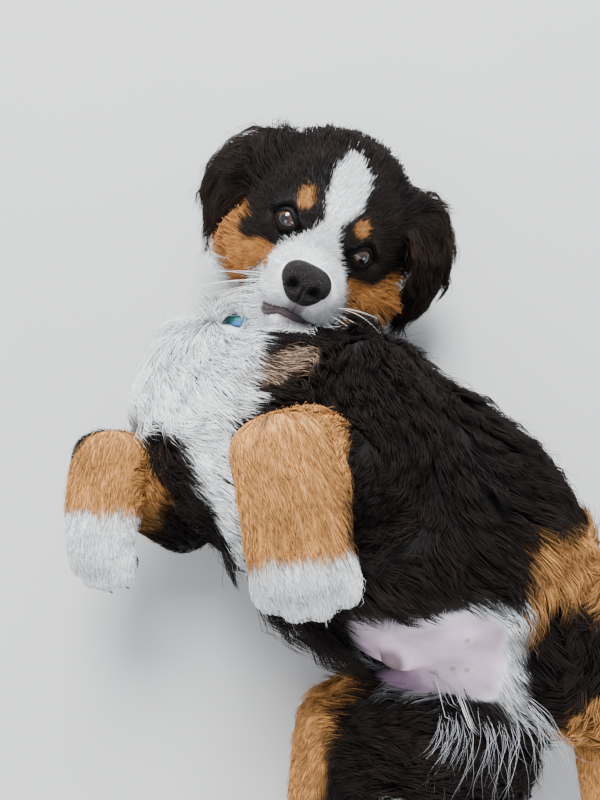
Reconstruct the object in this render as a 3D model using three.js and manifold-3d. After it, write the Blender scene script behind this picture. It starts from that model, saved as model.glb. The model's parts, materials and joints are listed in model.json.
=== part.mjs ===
// A life-size still model of a Bernese mountain dog puppy, about ten weeks old, that lies on its back and
// right side with its forepaws folded in the air, its hind legs splayed and its face turned up.
// Millimetres, +Z up, floor at z = 0. The trunk lies along Y with the head at +Y, and the origin is under the
// middle of the whole model.
import * as THREE from "three";
import { mergeVertices } from "three/addons/utils/BufferGeometryUtils.js";
import Module from "manifold-3d";

const wasm = await Module();
wasm.setup();

// Gaps and coat
const GAP = 0.4; // between touching nodes
const COAT = { trunk: 8, neck: 6, ear: 2.5, thigh: 6, arm: 5, tail: 9 }; // over the core of each node
const LOCK_ROOT = 5; // that a lock is sunk in its core
const FLOOR_CLEARANCE = 0.6; // between a lock and the floor
const BELLY_FROM = 0.57; // along the trunk, where the bare belly starts
const BELLY_ANGLE = 100; // degrees round the trunk, to the middle of the bare belly
const BELLY_HALF_ANGLE = 56;
const EYE_RADIUS = 9.3;
const EYE_SPACING = 56;
const EYE_FORWARD = 1.5; // from the line of the eyes to each eyeball's centre
const EYE_TURN = 22; // of each eye's axis outwards from the muzzle's line
const NOSE_HALF_WIDTH = 17;
const MUZZLE_LENGTH = 58; // from the eyes forward to the tip of the nose
const SKULL_HALF_WIDTH = 63;
const COLLAR_WIDTH = 18;
const COLLAR_THICKNESS = 2.6;
const COLLAR_SLACK = 0.8; // between the collar and the neck under it
const COLLAR_AT = 0.5; // along the neck line, from 0 at the trunk to 1 at the skull
const COLLAR_TILT = 24; // degrees, that lift the collar on the puppy's right side
const CLAW_LENGTH = 8;

const V = (x, y, z) => new THREE.Vector3(x, y, z);
const radians = THREE.MathUtils.degToRad;

// A three.js geometry as a closed solid, with its shared vertices merged.
function solidOf(geometry) {
  const bare = geometry.clone();
  bare.deleteAttribute("normal");
  bare.deleteAttribute("uv");
  const merged = mergeVertices(bare, 1e-3);
  return new wasm.Manifold(
    new wasm.Mesh({
      numProp: 3,
      vertProperties: merged.attributes.position.array,
      triVerts: new Uint32Array(merged.index.array),
    }),
  );
}

function geometryOf(solid) {
  const mesh = solid.getMesh();
  const geometry = new THREE.BufferGeometry();
  geometry.setAttribute("position", new THREE.BufferAttribute(mesh.vertProperties, 3));
  geometry.setIndex(new THREE.BufferAttribute(mesh.triVerts, 1));
  geometry.computeVertexNormals();
  return geometry;
}

const joined = (solids) => solids.reduce((all, one) => all.add(one));

function largestOf(solid) {
  return solid.decompose().reduce((a, b) => (a.volume() > b.volume() ? a : b));
}

// A rounded body along a smooth line through stations of [x, y, z, half-width, half-depth, roll in degrees].
// The depth is measured along front, which the roll turns about the line. Both ends are round caps.
class Body {
  constructor(stations, { front = V(0, 0, 1), sides, rings, caps, bow = 0, placed = null }) {
    this.line = new THREE.CatmullRomCurve3(stations.map(([x, y, z]) => V(x, y, z)));
    this.sizes = new THREE.CatmullRomCurve3(
      stations.map(([, , , wide, deep, roll = 0]) => V(wide, deep, roll)),
      false,
      "catmullrom",
      0.5,
    );
    Object.assign(this, { front, sides, rings, caps, bow, placed });
  }

  frameAt(t) {
    const at = this.line.getPoint(t);
    const along = this.line.getTangent(t);
    const size = this.sizes.getPoint(t);
    const front = this.front.clone().applyAxisAngle(along, radians(size.z));
    front.addScaledVector(along, -front.dot(along)).normalize();
    return { at, along, front, across: along.clone().cross(front), wide: size.x, deep: size.y };
  }

  // The point at t along the line, at x across and z in front of it in shares of the half sizes, and past an
  // end by a length. It stands out from the surface by grow.
  place(t, x, z, past, grow) {
    const f = this.frameAt(t);
    const p = f.at
      .clone()
      .addScaledVector(f.across, x * (f.wide + grow))
      .addScaledVector(f.front, z * (f.deep + grow) + this.bow * x * x)
      .addScaledVector(f.along, past);
    return this.placed ? p.applyMatrix4(this.placed) : p;
  }

  // Millimetres along the line for each unit of t, near t.
  pace(t) {
    const near = THREE.MathUtils.clamp(t, 0.02, 0.98);
    return this.line.getPoint(near + 0.02).distanceTo(this.line.getPoint(near - 0.02)) / 0.04;
  }

  // A point over the surface at an angle round the line, counted from across towards front. Where t is past an
  // end, it lies on that end's round cap.
  over(t, angle, height = 0) {
    const within = THREE.MathUtils.clamp(t, 0, 1);
    const beyond = (t - within) * this.pace(within);
    const cap = this.caps[beyond > 0 ? 1 : 0] + height;
    const bend = Math.min(Math.abs(beyond) / ((cap + this.frameAt(within).wide) / 2), 1.3);
    const [x, z] = [Math.cos(angle) * Math.cos(bend), Math.sin(angle) * Math.cos(bend)];
    return this.place(within, x, z, Math.sign(beyond) * cap * Math.sin(bend), height);
  }

  solid(grow = 0) {
    const capsule = new THREE.CapsuleGeometry(1, 2, 3, this.sides, this.rings);
    const points = capsule.attributes.position;
    for (let i = 0; i < points.count; i++) {
      const [x, y, z] = [points.getX(i), points.getY(i), points.getZ(i)];
      const past = Math.abs(y) > 1 ? Math.sign(y) * (Math.abs(y) - 1) : 0;
      const cap = this.caps[y > 0 ? 1 : 0] + grow;
      const p = this.place(THREE.MathUtils.clamp((y + 1) / 2, 0, 1), x, z, past * cap, grow);
      points.setXYZ(i, p.x, p.y, p.z);
    }
    return solidOf(capsule);
  }
}

// A ball stretched to three half sizes, turned and placed.
function ball(centre, [x, y, z], { turn = [0, 0, 0], segments = [10, 7], placed = null, grow = 0 } = {}) {
  const geometry = new THREE.SphereGeometry(1, ...segments).scale(x + grow, y + grow, z + grow);
  geometry.applyMatrix4(new THREE.Matrix4().makeRotationFromEuler(new THREE.Euler(...turn.map(radians))));
  geometry.translate(centre.x, centre.y, centre.z);
  if (placed) geometry.applyMatrix4(placed);
  return solidOf(geometry);
}

// The same numbers between 0 and 1 on every run.
function seededRandom(seed) {
  let state = seed;
  return () => {
    state = (state * 16807) % 2147483647;
    return state / 2147483647;
  };
}

// A flat lock that tapers from its root to its tip. It lies along a body from t towards its far end, or its near
// end where heading is -1, at an angle round it that sweep turns by its tip, and rises from under the surface of
// the core to its tip at rise over it.
const LOCK_RINGS = 3;
const LOCK_WIDTHS = [0.8, 1, 0.72, 0];
const LOCK_THICKNESSES = [1, 0.9, 0.62, 0];
const LOCK_RISES = [0, 0.42, 0.8, 1];
function lock(body, core, { t, angle, length, width, thickness, rise, sweep, heading }, grow) {
  const cone = new THREE.ConeGeometry(1, LOCK_RINGS, 4, LOCK_RINGS);
  const points = cone.attributes.position;
  const pace = body.pace(t);
  for (let i = 0; i < points.count; i++) {
    const ring = Math.round(points.getY(i) + LOCK_RINGS / 2);
    const share = ring / LOCK_RINGS;
    const along = t + (heading * share * length) / pace;
    const turned = angle + sweep * share * share;
    const height = core + (ring === 0 ? -LOCK_ROOT : LOCK_RISES[ring] * rise);
    const at = body.over(along, turned, height);
    const out = body.over(along, turned, height + 1).sub(at).normalize();
    const flow = body.over(along + 0.01, turned, height).sub(body.over(along - 0.01, turned, height));
    const across = flow.cross(out).normalize();
    const [x, z] = share < 1 ? [points.getX(i), points.getZ(i)].map((c) => c / (1 - share)) : [0, 0];
    at.addScaledVector(across, x * ((width / 2) * LOCK_WIDTHS[ring] + grow));
    at.addScaledVector(out, z * ((thickness / 2) * LOCK_THICKNESSES[ring] + grow));
    points.setXYZ(i, at.x, at.y, at.z);
  }
  return solidOf(cone);
}

// The frames that the sub-parts are placed in. The head's frame has its origin midway between the eyes, +X to
// the puppy's right, +Y along the muzzle and +Z to the crown.
const puppy = new THREE.Group();
const headFrame = new THREE.Group();
headFrame.position.set(145, 157, 115);
headFrame.rotation.set(radians(52.7), radians(-22.5), radians(137.8), "ZXY");
puppy.add(headFrame);
puppy.updateMatrixWorld(true);
const toHead = headFrame.matrixWorld;

const coats = {
  black: new THREE.MeshStandardMaterial({ color: 0x1b1816, roughness: 0.85 }),
  tan: new THREE.MeshStandardMaterial({ color: 0xb5793f, roughness: 0.85 }),
  white: new THREE.MeshStandardMaterial({ color: 0xe4e2de, roughness: 0.85 }),
  nose: new THREE.MeshStandardMaterial({ color: 0x1a1719, roughness: 0.35 }),
  eye: new THREE.MeshStandardMaterial({ color: 0x2a1a10, roughness: 0.05 }),
  strap: new THREE.MeshStandardMaterial({ color: 0x1583c4, roughness: 0.6 }),
};

const nodes = new Map();
const bodies = new Map();

// Adds a node. It is cut clear of the nodes added before it and of the floor, and stands clear of those to come.
function addNode(name, frame, material, shapeOf) {
  let solid = shapeOf(0);
  for (const node of nodes.values()) solid = solid.subtract(node.grown);
  solid = largestOf(solid.trimByPlane([0, 0, 1], 0));
  nodes.set(name, { solid, grown: shapeOf(GAP), frame, material });
}

// Covers a node's core with locks, set in rows along a body and staggered round it. The locks of one node keep
// clear of every other node: one that would touch is made shorter and lifted, or else left out.
const LOCK_FITS = [
  { share: 1, lift: 0 },
  { share: 0.75, lift: 2 },
  { share: 0.55, lift: 4 },
];
function growLocks(name, body, settings) {
  const { core, rise, from, to, spacing, size, where, heading = 1, sweep = () => 0, seed } = settings;
  const node = nodes.get(name);
  const others = [...nodes.values()].filter((other) => other !== node);
  const boxes = others.map((other) => other.solid.boundingBox());
  const random = seededRandom(seed);
  const [rowStep, gapAround] = spacing;
  const [length, width, thickness] = size;
  const kept = [];
  let row = 0;
  for (let t = from; t <= to; t += rowStep / body.pace(t)) {
    const across = body.over(t, 0, core).distanceTo(body.over(t, Math.PI, core));
    const through = body.over(t, Math.PI / 2, core).distanceTo(body.over(t, -Math.PI / 2, core));
    const count = Math.max(3, Math.round((Math.PI * (across + through)) / 2 / gapAround));
    for (let i = 0; i < count; i++) {
      const angle = ((i + (row % 2) / 2 + 0.3 * (random() - 0.5)) * 2 * Math.PI) / count;
      const shift = (0.25 * (random() - 0.5) * rowStep) / body.pace(t);
      const stretch = 0.9 + 0.25 * random();
      const lean = 0.13 * (random() - 0.5);
      const root = body.over(t + shift, angle, core);
      if (!where({ root, angle: THREE.MathUtils.radToDeg(angle), t })) continue;
      for (const { share, lift } of LOCK_FITS) {
        const lie = {
          t: t + shift,
          angle,
          length: length * stretch * share,
          width: width * (0.95 + 0.1 * stretch),
          thickness,
          rise: rise + lift,
          sweep: sweep(angle) + lean,
          heading,
        };
        if (touches(lock(body, core, lie, GAP), others, boxes)) continue;
        kept.push(lock(body, core, lie, 0));
        break;
      }
    }
    row++;
  }
  node.solid = largestOf(joined([node.solid, ...kept]));
}

// Whether a solid reaches into the floor's clearance or into one of the other nodes.
function touches(solid, others, boxes) {
  const box = solid.boundingBox();
  if (box.min[2] < FLOOR_CLEARANCE) return true;
  return others.some((other, k) => {
    const apart = [0, 1, 2].some((a) => box.min[a] > boxes[k].max[a] || box.max[a] < boxes[k].min[a]);
    return !apart && solid.intersect(other.solid).volume() > 0;
  });
}

// Eyes and nose
const side = { right: 1, left: -1 };
const eyeCentre = (s) => V((s * EYE_SPACING) / 2, EYE_FORWARD, 0);
for (const [name, s] of Object.entries(side)) {
  addNode(`eye_${name}`, headFrame, coats.eye, (grow) =>
    ball(eyeCentre(s), [EYE_RADIUS, EYE_RADIUS, EYE_RADIUS], { placed: toHead, grow, segments: [12, 8] }),
  );
}

const nosePad = (grow) => {
  const pad = ball(V(0, MUZZLE_LENGTH - 8, -24), [NOSE_HALF_WIDTH, 11, 13], {
    placed: toHead,
    grow,
    segments: [12, 8],
  });
  if (grow) return pad;
  const nostrils = [1, -1].map((s) =>
    ball(V(s * 8.2, MUZZLE_LENGTH + 1, -24), [4.6, 7, 3.8], {
      turn: [0, s * 25, s * -20],
      segments: [8, 5],
      placed: toHead,
    }),
  );
  const slit = ball(V(0, MUZZLE_LENGTH + 3, -33), [1, 6, 9], { segments: [6, 4], placed: toHead });
  return pad.subtract(joined([...nostrils, slit]));
};
addNode("nose", headFrame, coats.nose, nosePad);

// Lower jaw. The upper lips of the muzzle hang over its sides, and their edge is the line of the mouth.
const jaw = new Body(
  [
    [0, -18, -52, 30, 16],
    [0, 8, -57, 25, 12],
    [0, 28, -58, 21, 11],
    [0, 40, -57, 16, 9],
  ],
  { sides: 12, rings: 4, caps: [12, 9], placed: toHead },
);
addNode("jaw", headFrame, coats.white, (grow) => jaw.solid(grow));

// Head: skull, cheeks, muzzle with its lips, brows and lids
const skull = new Body(
  [
    [0, -92, -6, 44, 48],
    [0, -70, 0, 62, 65],
    [0, -45, 1, SKULL_HALF_WIDTH + 6, 69],
    [0, -22, -8, SKULL_HALF_WIDTH, 58],
    [0, -6, -14, 54, 46],
  ],
  { sides: 20, rings: 6, caps: [22, 20], placed: toHead },
);
const muzzle = new Body(
  [
    [0, -10, -30, 40, 29],
    [0, 14, -30, 35, 24],
    [0, 32, -29, 32, 21],
    [0, MUZZLE_LENGTH - 16, -28, 27, 18],
  ],
  { sides: 16, rings: 4, caps: [10, 10], placed: toHead },
);
const lid = (s, grow) => {
  const ring = new THREE.TorusGeometry(10.2, 3 + grow, 5, 12).scale(1, 0.86, 1);
  const turn = new THREE.Euler(radians(-84), 0, radians(-s * EYE_TURN), "ZXY");
  const at = eyeCentre(s).add(V(s * 2.4, 6.6, 0));
  ring.applyMatrix4(new THREE.Matrix4().makeRotationFromEuler(turn));
  ring.translate(at.x, at.y, at.z).applyMatrix4(toHead);
  return solidOf(ring);
};
const eyeOpening = (s) =>
  ball(eyeCentre(s).add(V(s * 4, 10, 0)), [9.2, 12, 7.2], { turn: [0, 0, -s * EYE_TURN], placed: toHead });
const headShape = (grow) => {
  const flesh = joined([
    skull.solid(grow),
    muzzle.solid(grow),
    ...[1, -1].flatMap((s) => [
      ball(V(s * 45, -22, -34), [30, 32, 34], { placed: toHead, grow, segments: [10, 6] }),
      ball(V(s * 21, -8, 14), [20, 17, 13], { placed: toHead, grow, segments: [8, 5] }),
      ball(V(s * 16, 25, -41), [15, 24, 12], { placed: toHead, grow, segments: [8, 5] }),
      lid(s, grow),
    ]),
  ]);
  return grow ? flesh : flesh.subtract(joined([1, -1].map(eyeOpening)));
};
addNode("head", headFrame, coats.black, headShape);

// Ears: leaves that hang from the top of the skull, hollow on the inner side
const earLines = {
  right: [
    [46, -56, 38, 22, 9],
    [68, -54, 30, 28, 9],
    [84, -52, 10, 31, 9],
    [87, -52, -18, 27, 8],
    [78, -52, -44, 14, 5],
  ],
  left: [
    [-46, -48, 44, 22, 9],
    [-68, -37, 44, 30, 9],
    [-88, -33, 20, 33, 9],
    [-95, -33, -10, 27, 8],
    [-90, -34, -38, 14, 5],
  ],
};
for (const [name, s] of Object.entries(side)) {
  const ear = new Body(earLines[name], {
    front: V(s * 0.72, 0.55, 0.4),
    sides: 12,
    rings: 7,
    caps: [8, 10],
    bow: -8,
    placed: toHead,
  });
  addNode(`ear_${name}`, headFrame, coats.black, (grow) => ear.solid(grow - COAT.ear));
  bodies.set(`ear_${name}`, ear);
}

// Neck line and collar
const neckBody = new Body(
  [
    [78, 84, 70, 66, 62],
    [92, 116, 62, 61, 55],
    [114, 146, 56, 58, 51],
  ],
  { sides: 16, rings: 3, caps: [26, 24] },
);
addNode("collar", puppy, coats.strap, (grow) => {
  const { at, along, front } = neckBody.frameAt(COLLAR_AT);
  const reach = COLLAR_WIDTH / 2 + grow;
  const up = along.applyAxisAngle(front, -radians(COLLAR_TILT));
  const normal = up.toArray();
  const inner = COLLAR_SLACK - COAT.neck;
  const ring = neckBody.solid(inner + COLLAR_THICKNESS + grow).subtract(neckBody.solid(inner - grow));
  const start = at.dot(up) - reach;
  return ring.trimByPlane(normal, start).trimByPlane(normal.map((n) => -n), -(start + 2 * reach));
});

// Trunk: forechest to rump. Its roll turns the belly from straight up towards the puppy's right.
const trunk = new Body(
  [
    [10, 132, 70, 62, 66, 60],
    [18, 97, 74, 82, 88, 58],
    [45, 42, 84, 93, 102, 56],
    [64, -20, 88, 95, 104, 52],
    [76, -70, 85, 95, 100, 46],
    [76, -108, 80, 84, 90, 40],
    [66, -144, 74, 62, 74, 30],
    [55, -180, 63, 44, 52, 24],
  ],
  { sides: 20, rings: 12, caps: [50, 22] },
);
addNode("torso", puppy, coats.black, (grow) => trunk.solid(grow - COAT.trunk));
addNode("neck", puppy, coats.black, (grow) => neckBody.solid(grow - COAT.neck));

// A paw along a line from the wrist or hock to the toes: the palm, and four toes with a claw each
function paw(stations, front, { spread = 13.5, size = 1 }) {
  const palm = new Body(stations, { front, sides: 10, rings: 3, caps: [18, 16] });
  const end = palm.frameAt(1);
  const turn = new THREE.Matrix4().makeBasis(end.across, end.along, end.front);
  const part = (geometry, x, y, z) => {
    const at = V(x, y, z).multiplyScalar(size).applyMatrix4(turn).add(end.at);
    return solidOf(geometry.applyMatrix4(turn).translate(at.x, at.y, at.z));
  };
  return (grow) => {
    const toes = [-1.5, -0.5, 0.5, 1.5].flatMap((k) => {
      const [x, y, z] = [k * spread, 13 - 2.6 * k * k, -1 - 0.9 * k * k];
      const half = [10, 17, 11].map((h) => h * size + grow);
      const toe = new THREE.SphereGeometry(1, 8, 5).rotateX(Math.PI / 2).scale(...half);
      const claw = new THREE.ConeGeometry(2.6 + grow, CLAW_LENGTH + 8, 4).rotateX(-0.35);
      return [part(toe, x, y, z), part(claw, x, y + 15.5, z - 1)];
    });
    return joined([palm.solid(grow), ...toes]);
  };
}

// Forelegs: upper arm, forearm and folded paw
const forelegs = {
  left: {
    upper: [
      [94, 46, 132, 40, 50],
      [82, 22, 150, 38, 47],
      [64, -4, 160, 34, 40],
    ],
    lower: [
      [52, -6, 150, 34, 36],
      [40, 14, 178, 31, 32],
      [28, 36, 204, 29, 29],
    ],
    paw: [
      [23, 44, 212, 31, 27],
      [10, 18, 215, 31, 25],
      [-4, -4, 212, 30, 22],
      [-9, -13, 209, 29, 20],
    ],
    front: V(-0.2, 0.1, 1),
  },
  right: {
    upper: [
      [-8, 112, 64, 40, 44],
      [-34, 92, 54, 36, 38],
      [-52, 66, 46, 32, 33],
    ],
    lower: [
      [-58, 64, 46, 29, 30],
      [-65, 88, 74, 28, 28],
      [-68, 113, 100, 27, 27],
    ],
    paw: [
      [-67, 125, 106, 29, 25],
      [-87, 102, 110, 29, 24],
      [-104, 82, 110, 27, 21],
      [-110, 75, 108, 26, 19],
    ],
    front: V(-0.45, 0.35, 1),
  },
};
for (const [name, leg] of Object.entries(forelegs)) {
  const upper = new Body(leg.upper, { sides: 14, rings: 4, caps: [24, 20] });
  const lower = new Body(leg.lower, { sides: 12, rings: 4, caps: [20, 18] });
  const foot = paw(leg.paw, leg.front, { size: name === "left" ? 1.02 : 0.96 });
  addNode(`forepaw_${name}`, puppy, coats.white, foot);
  addNode(`foreleg_lower_${name}`, puppy, coats.tan, (grow) => lower.solid(grow));
  addNode(`foreleg_upper_${name}`, puppy, coats.black, (grow) => upper.solid(grow - COAT.arm));
  bodies.set(`foreleg_upper_${name}`, upper);
}

// Hind legs: thigh, shank and foot
const hindlegs = {
  left: {
    thigh: [
      [78, -174, 86, 58, 54],
      [108, -156, 101, 61, 55],
      [136, -146, 107, 46, 44],
    ],
    shank: [
      [138, -162, 102, 34, 34],
      [112, -192, 98, 31, 31],
      [86, -220, 90, 24, 24],
    ],
    paw: [
      [80, -226, 88, 24, 23],
      [62, -252, 88, 25, 22],
      [46, -274, 88, 25, 19],
      [40, -283, 88, 24, 17],
    ],
    front: V(0.5, -0.3, 1),
  },
  right: {
    thigh: [
      [20, -184, 62, 54, 46],
      [-12, -148, 72, 52, 45],
      [-44, -116, 78, 38, 37],
    ],
    shank: [
      [-52, -116, 74, 35, 35],
      [-84, -142, 66, 31, 31],
      [-112, -166, 56, 24, 24],
    ],
    paw: [
      [-118, -171, 54, 24, 23],
      [-144, -186, 50, 25, 22],
      [-168, -198, 44, 25, 19],
      [-177, -202, 42, 24, 17],
    ],
    front: V(-0.3, 0.5, 0.8),
  },
};
for (const [name, leg] of Object.entries(hindlegs)) {
  const thigh = new Body(leg.thigh, { sides: 16, rings: 5, caps: [30, 22] });
  const shank = new Body(leg.shank, { sides: 12, rings: 4, caps: [22, 16] });
  addNode(`hindpaw_${name}`, puppy, coats.white, paw(leg.paw, leg.front, { size: 0.9 }));
  addNode(`thigh_${name}`, puppy, coats.black, (grow) => thigh.solid(grow - COAT.thigh));
  addNode(`shank_${name}`, puppy, coats.tan, (grow) => shank.solid(grow));
  bodies.set(`thigh_${name}`, thigh);
}

// Tail, laid on the floor
const tail = new Body(
  [
    [38, -196, 42, 22, 24],
    [8, -224, 26, 24, 24],
    [-26, -256, 22, 24, 22],
    [-64, -276, 19, 20, 19],
    [-96, -282, 14, 12, 12],
  ],
  { sides: 12, rings: 7, caps: [14, 14] },
);
addNode("tail", puppy, coats.black, (grow) => tail.solid(grow - COAT.tail));

// Locks of the coat
growLocks("torso", trunk, {
  core: -COAT.trunk,
  rise: COAT.trunk,
  from: 0.01,
  to: 0.95,
  spacing: [42, 39],
  size: [62, 40, 7],
  where: ({ root, angle, t }) => {
    const bare = t > BELLY_FROM && Math.abs(angle - BELLY_ANGLE) < BELLY_HALF_ANGLE;
    return root.z > 22 && !bare;
  },
  sweep: (angle) => 0.22 * Math.sin(2 * angle),
  seed: 11,
});
for (const name of ["left", "right"]) {
  growLocks(`thigh_${name}`, bodies.get(`thigh_${name}`), {
    core: -COAT.thigh,
    rise: COAT.thigh + 1,
    from: 0.1,
    to: 0.9,
    spacing: [38, 34],
    size: [50, 32, 6],
    where: ({ root }) => root.z > 14,
    seed: 23,
  });
  growLocks(`foreleg_upper_${name}`, bodies.get(`foreleg_upper_${name}`), {
    core: -COAT.arm,
    rise: COAT.arm + 1,
    from: 0.1,
    to: 0.95,
    spacing: [36, 32],
    size: [44, 30, 6],
    where: ({ root }) => root.z > 14,
    seed: 31,
  });
  growLocks(`ear_${name}`, bodies.get(`ear_${name}`), {
    core: -COAT.ear,
    rise: COAT.ear + 3,
    from: 0.3,
    to: 0.95,
    spacing: [32, 30],
    size: [42, 28, 4.5],
    where: ({ angle }) => Math.sin(radians(angle)) > -0.35,
    seed: 43,
  });
}
growLocks("tail", tail, {
  core: -COAT.tail,
  rise: COAT.tail + 1,
  from: 0.05,
  to: 0.98,
  spacing: [33, 29],
  size: [48, 28, 5],
  where: ({ root }) => root.z > 12,
  seed: 53,
});
// Each node's mesh in its frame, and the origin under the middle of the whole
const bounds = new THREE.Box3();
for (const [name, node] of nodes) {
  const geometry = geometryOf(node.solid);
  geometry.computeBoundingBox();
  bounds.union(geometry.boundingBox);
  geometry.applyMatrix4(node.frame.matrixWorld.clone().invert());
  const mesh = new THREE.Mesh(geometry, node.material);
  mesh.name = name;
  node.frame.add(mesh);
}
const middle = bounds.getCenter(V(0, 0, 0));
puppy.position.set(-middle.x, -middle.y, 0);

export default puppy;
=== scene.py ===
"""The look of a life-size Bernese mountain dog puppy that lies on its back: skin, coat, eyes, nose, lips,
claws, pads, whiskers and collar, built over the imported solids. Lengths are in millimetres until they go
into a mesh."""

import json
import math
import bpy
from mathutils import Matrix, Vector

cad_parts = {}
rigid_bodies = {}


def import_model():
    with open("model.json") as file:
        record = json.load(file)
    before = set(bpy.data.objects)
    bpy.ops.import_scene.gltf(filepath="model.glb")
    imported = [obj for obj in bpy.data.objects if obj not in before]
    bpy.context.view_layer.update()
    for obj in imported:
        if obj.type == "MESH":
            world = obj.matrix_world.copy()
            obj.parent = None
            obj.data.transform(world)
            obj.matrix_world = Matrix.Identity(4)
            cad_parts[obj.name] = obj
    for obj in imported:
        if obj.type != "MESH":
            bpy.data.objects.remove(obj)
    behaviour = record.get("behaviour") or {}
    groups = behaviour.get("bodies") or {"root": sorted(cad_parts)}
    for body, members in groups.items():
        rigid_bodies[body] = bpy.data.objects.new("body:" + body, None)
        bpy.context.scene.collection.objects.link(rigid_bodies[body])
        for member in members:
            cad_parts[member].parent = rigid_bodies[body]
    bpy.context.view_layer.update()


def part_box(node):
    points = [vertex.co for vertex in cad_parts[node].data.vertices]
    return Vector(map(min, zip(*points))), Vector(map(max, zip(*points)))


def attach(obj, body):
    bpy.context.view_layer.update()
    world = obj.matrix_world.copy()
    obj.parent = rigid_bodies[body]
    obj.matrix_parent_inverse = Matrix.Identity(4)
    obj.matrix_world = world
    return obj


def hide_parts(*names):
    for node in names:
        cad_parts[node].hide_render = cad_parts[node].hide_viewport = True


bl_info = {
    "name": "Bernese Mountain Dog Puppy",
    "version": (1, 0, 0),
    "blender": (4, 5, 0),
    "location": "View3D > Sidebar > Puppy",
    "description": "Skin, coat, face, feet and collar of a still model of a puppy on its back",
    "category": "Add Mesh",
}

import bmesh
import bpy
import numpy as np
from bpy.props import FloatProperty, FloatVectorProperty, IntProperty, PointerProperty
from mathutils import Matrix, Vector
from mathutils.bvhtree import BVHTree
from mathutils.kdtree import KDTree

for spare in list(bpy.data.objects):
    bpy.data.objects.remove(spare)
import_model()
MM = 0.001

# Sizes shared with the solids
HEAD_AT = (145, 157, 115)
HEAD_TURN = (52.7, -22.5, 137.8)
EYE_RADIUS = 9.3
EYE_SPACING = 56
EYE_FORWARD = 1.5
EYE_TURN = 22
NOSE_AT = (0, 50, -24)
NOSE_HALF = (17, 11, 13)
COLLAR_WIDTH = 18
COLLAR_AT = 0.5
COLLAR_TILT = 24


def unit(v):
    return v / np.maximum(np.linalg.norm(v, axis=-1, keepdims=True), 1e-12)


def turn(degrees, axis):
    """A matrix that turns points about an axis."""
    return np.array(Matrix.Rotation(math.radians(degrees), 3, axis))


def smooth(low, high, x):
    """A share that rises gently from 0 at low to 1 at high."""
    share = np.clip((x - low) / (high - low), 0, 1)
    return share * share * (3 - 2 * share)


HEAD = turn(HEAD_TURN[2], "Z") @ turn(HEAD_TURN[0], "X") @ turn(HEAD_TURN[1], "Y")


def eye_centre(side):
    return np.array([side * EYE_SPACING / 2, EYE_FORWARD, 0])


def eye_axis(side):
    """The way an eye looks, in the head's frame."""
    tilt = math.radians(EYE_TURN)
    return np.array([side * math.sin(tilt), math.cos(tilt), 0.0])


# The row's origin is under the middle of the model, so the right eye's solid tells how far all has moved.
EYE_LOW, EYE_HIGH = (np.array(corner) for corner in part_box("eye_right"))
ORIGIN = (EYE_LOW + EYE_HIGH) / 2 / MM - (HEAD @ eye_centre(1) + HEAD_AT)
ORIGIN[2] = 0
HEAD_PLACE = np.array(HEAD_AT) + ORIGIN


def from_head(p):
    return np.asarray(p) @ HEAD.T + HEAD_PLACE


def to_head(p):
    return (p - HEAD_PLACE) @ HEAD


def ripple(p, size, seed=0):
    """Smooth random values from -1 to 1 in space, with swells of the given size."""
    q = np.asarray(p) / size + seed * 17.31
    cell = np.floor(q).astype(np.int64)
    f = q - cell
    f = f * f * (3 - 2 * f)
    total = 0
    for i in (0, 1):
        for j in (0, 1):
            for k in (0, 1):
                h = (cell[:, 0] + i) * 73856093 ^ (cell[:, 1] + j) * 19349663 ^ (cell[:, 2] + k) * 83492791
                h = (h ^ (h >> 13)) * 1274126177 & 0x7FFFFFFF
                value = (h % 10007) / 5003.0 - 1
                wx = f[:, 0] if i else 1 - f[:, 0]
                wy = f[:, 1] if j else 1 - f[:, 1]
                wz = f[:, 2] if k else 1 - f[:, 2]
                total = total + value * wx * wy * wz
    return total


def catmull_rom(points, t, centripetal):
    """Points at shares t of a smooth line through given points."""
    last = len(points) - 1
    place = np.clip(t, 0, 1) * last
    k = np.minimum(place.astype(int), last - 1)
    w = (place - k)[:, None]
    padded = np.vstack([2 * points[0] - points[1], points, 2 * points[-1] - points[-2]])
    p0, p1, p2, p3 = (padded[k + i] for i in range(4))
    if centripetal:
        pairs = ((p0, p1), (p1, p2), (p2, p3))
        d0, d1, d2 = (np.linalg.norm(b - a, axis=1, keepdims=True) ** 0.5 for a, b in pairs)
        leave = ((p1 - p0) / d0 - (p2 - p0) / (d0 + d1) + (p2 - p1) / d1) * d1
        arrive = ((p2 - p1) / d1 - (p3 - p1) / (d1 + d2) + (p3 - p2) / d2) * d1
    else:
        leave, arrive = (p2 - p0) / 2, (p3 - p1) / 2
    bend = 3 * (p2 - p1) - 2 * leave - arrive
    twist = 2 * (p1 - p2) + leave + arrive
    return p1 + w * (leave + w * (bend + w * twist))


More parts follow.
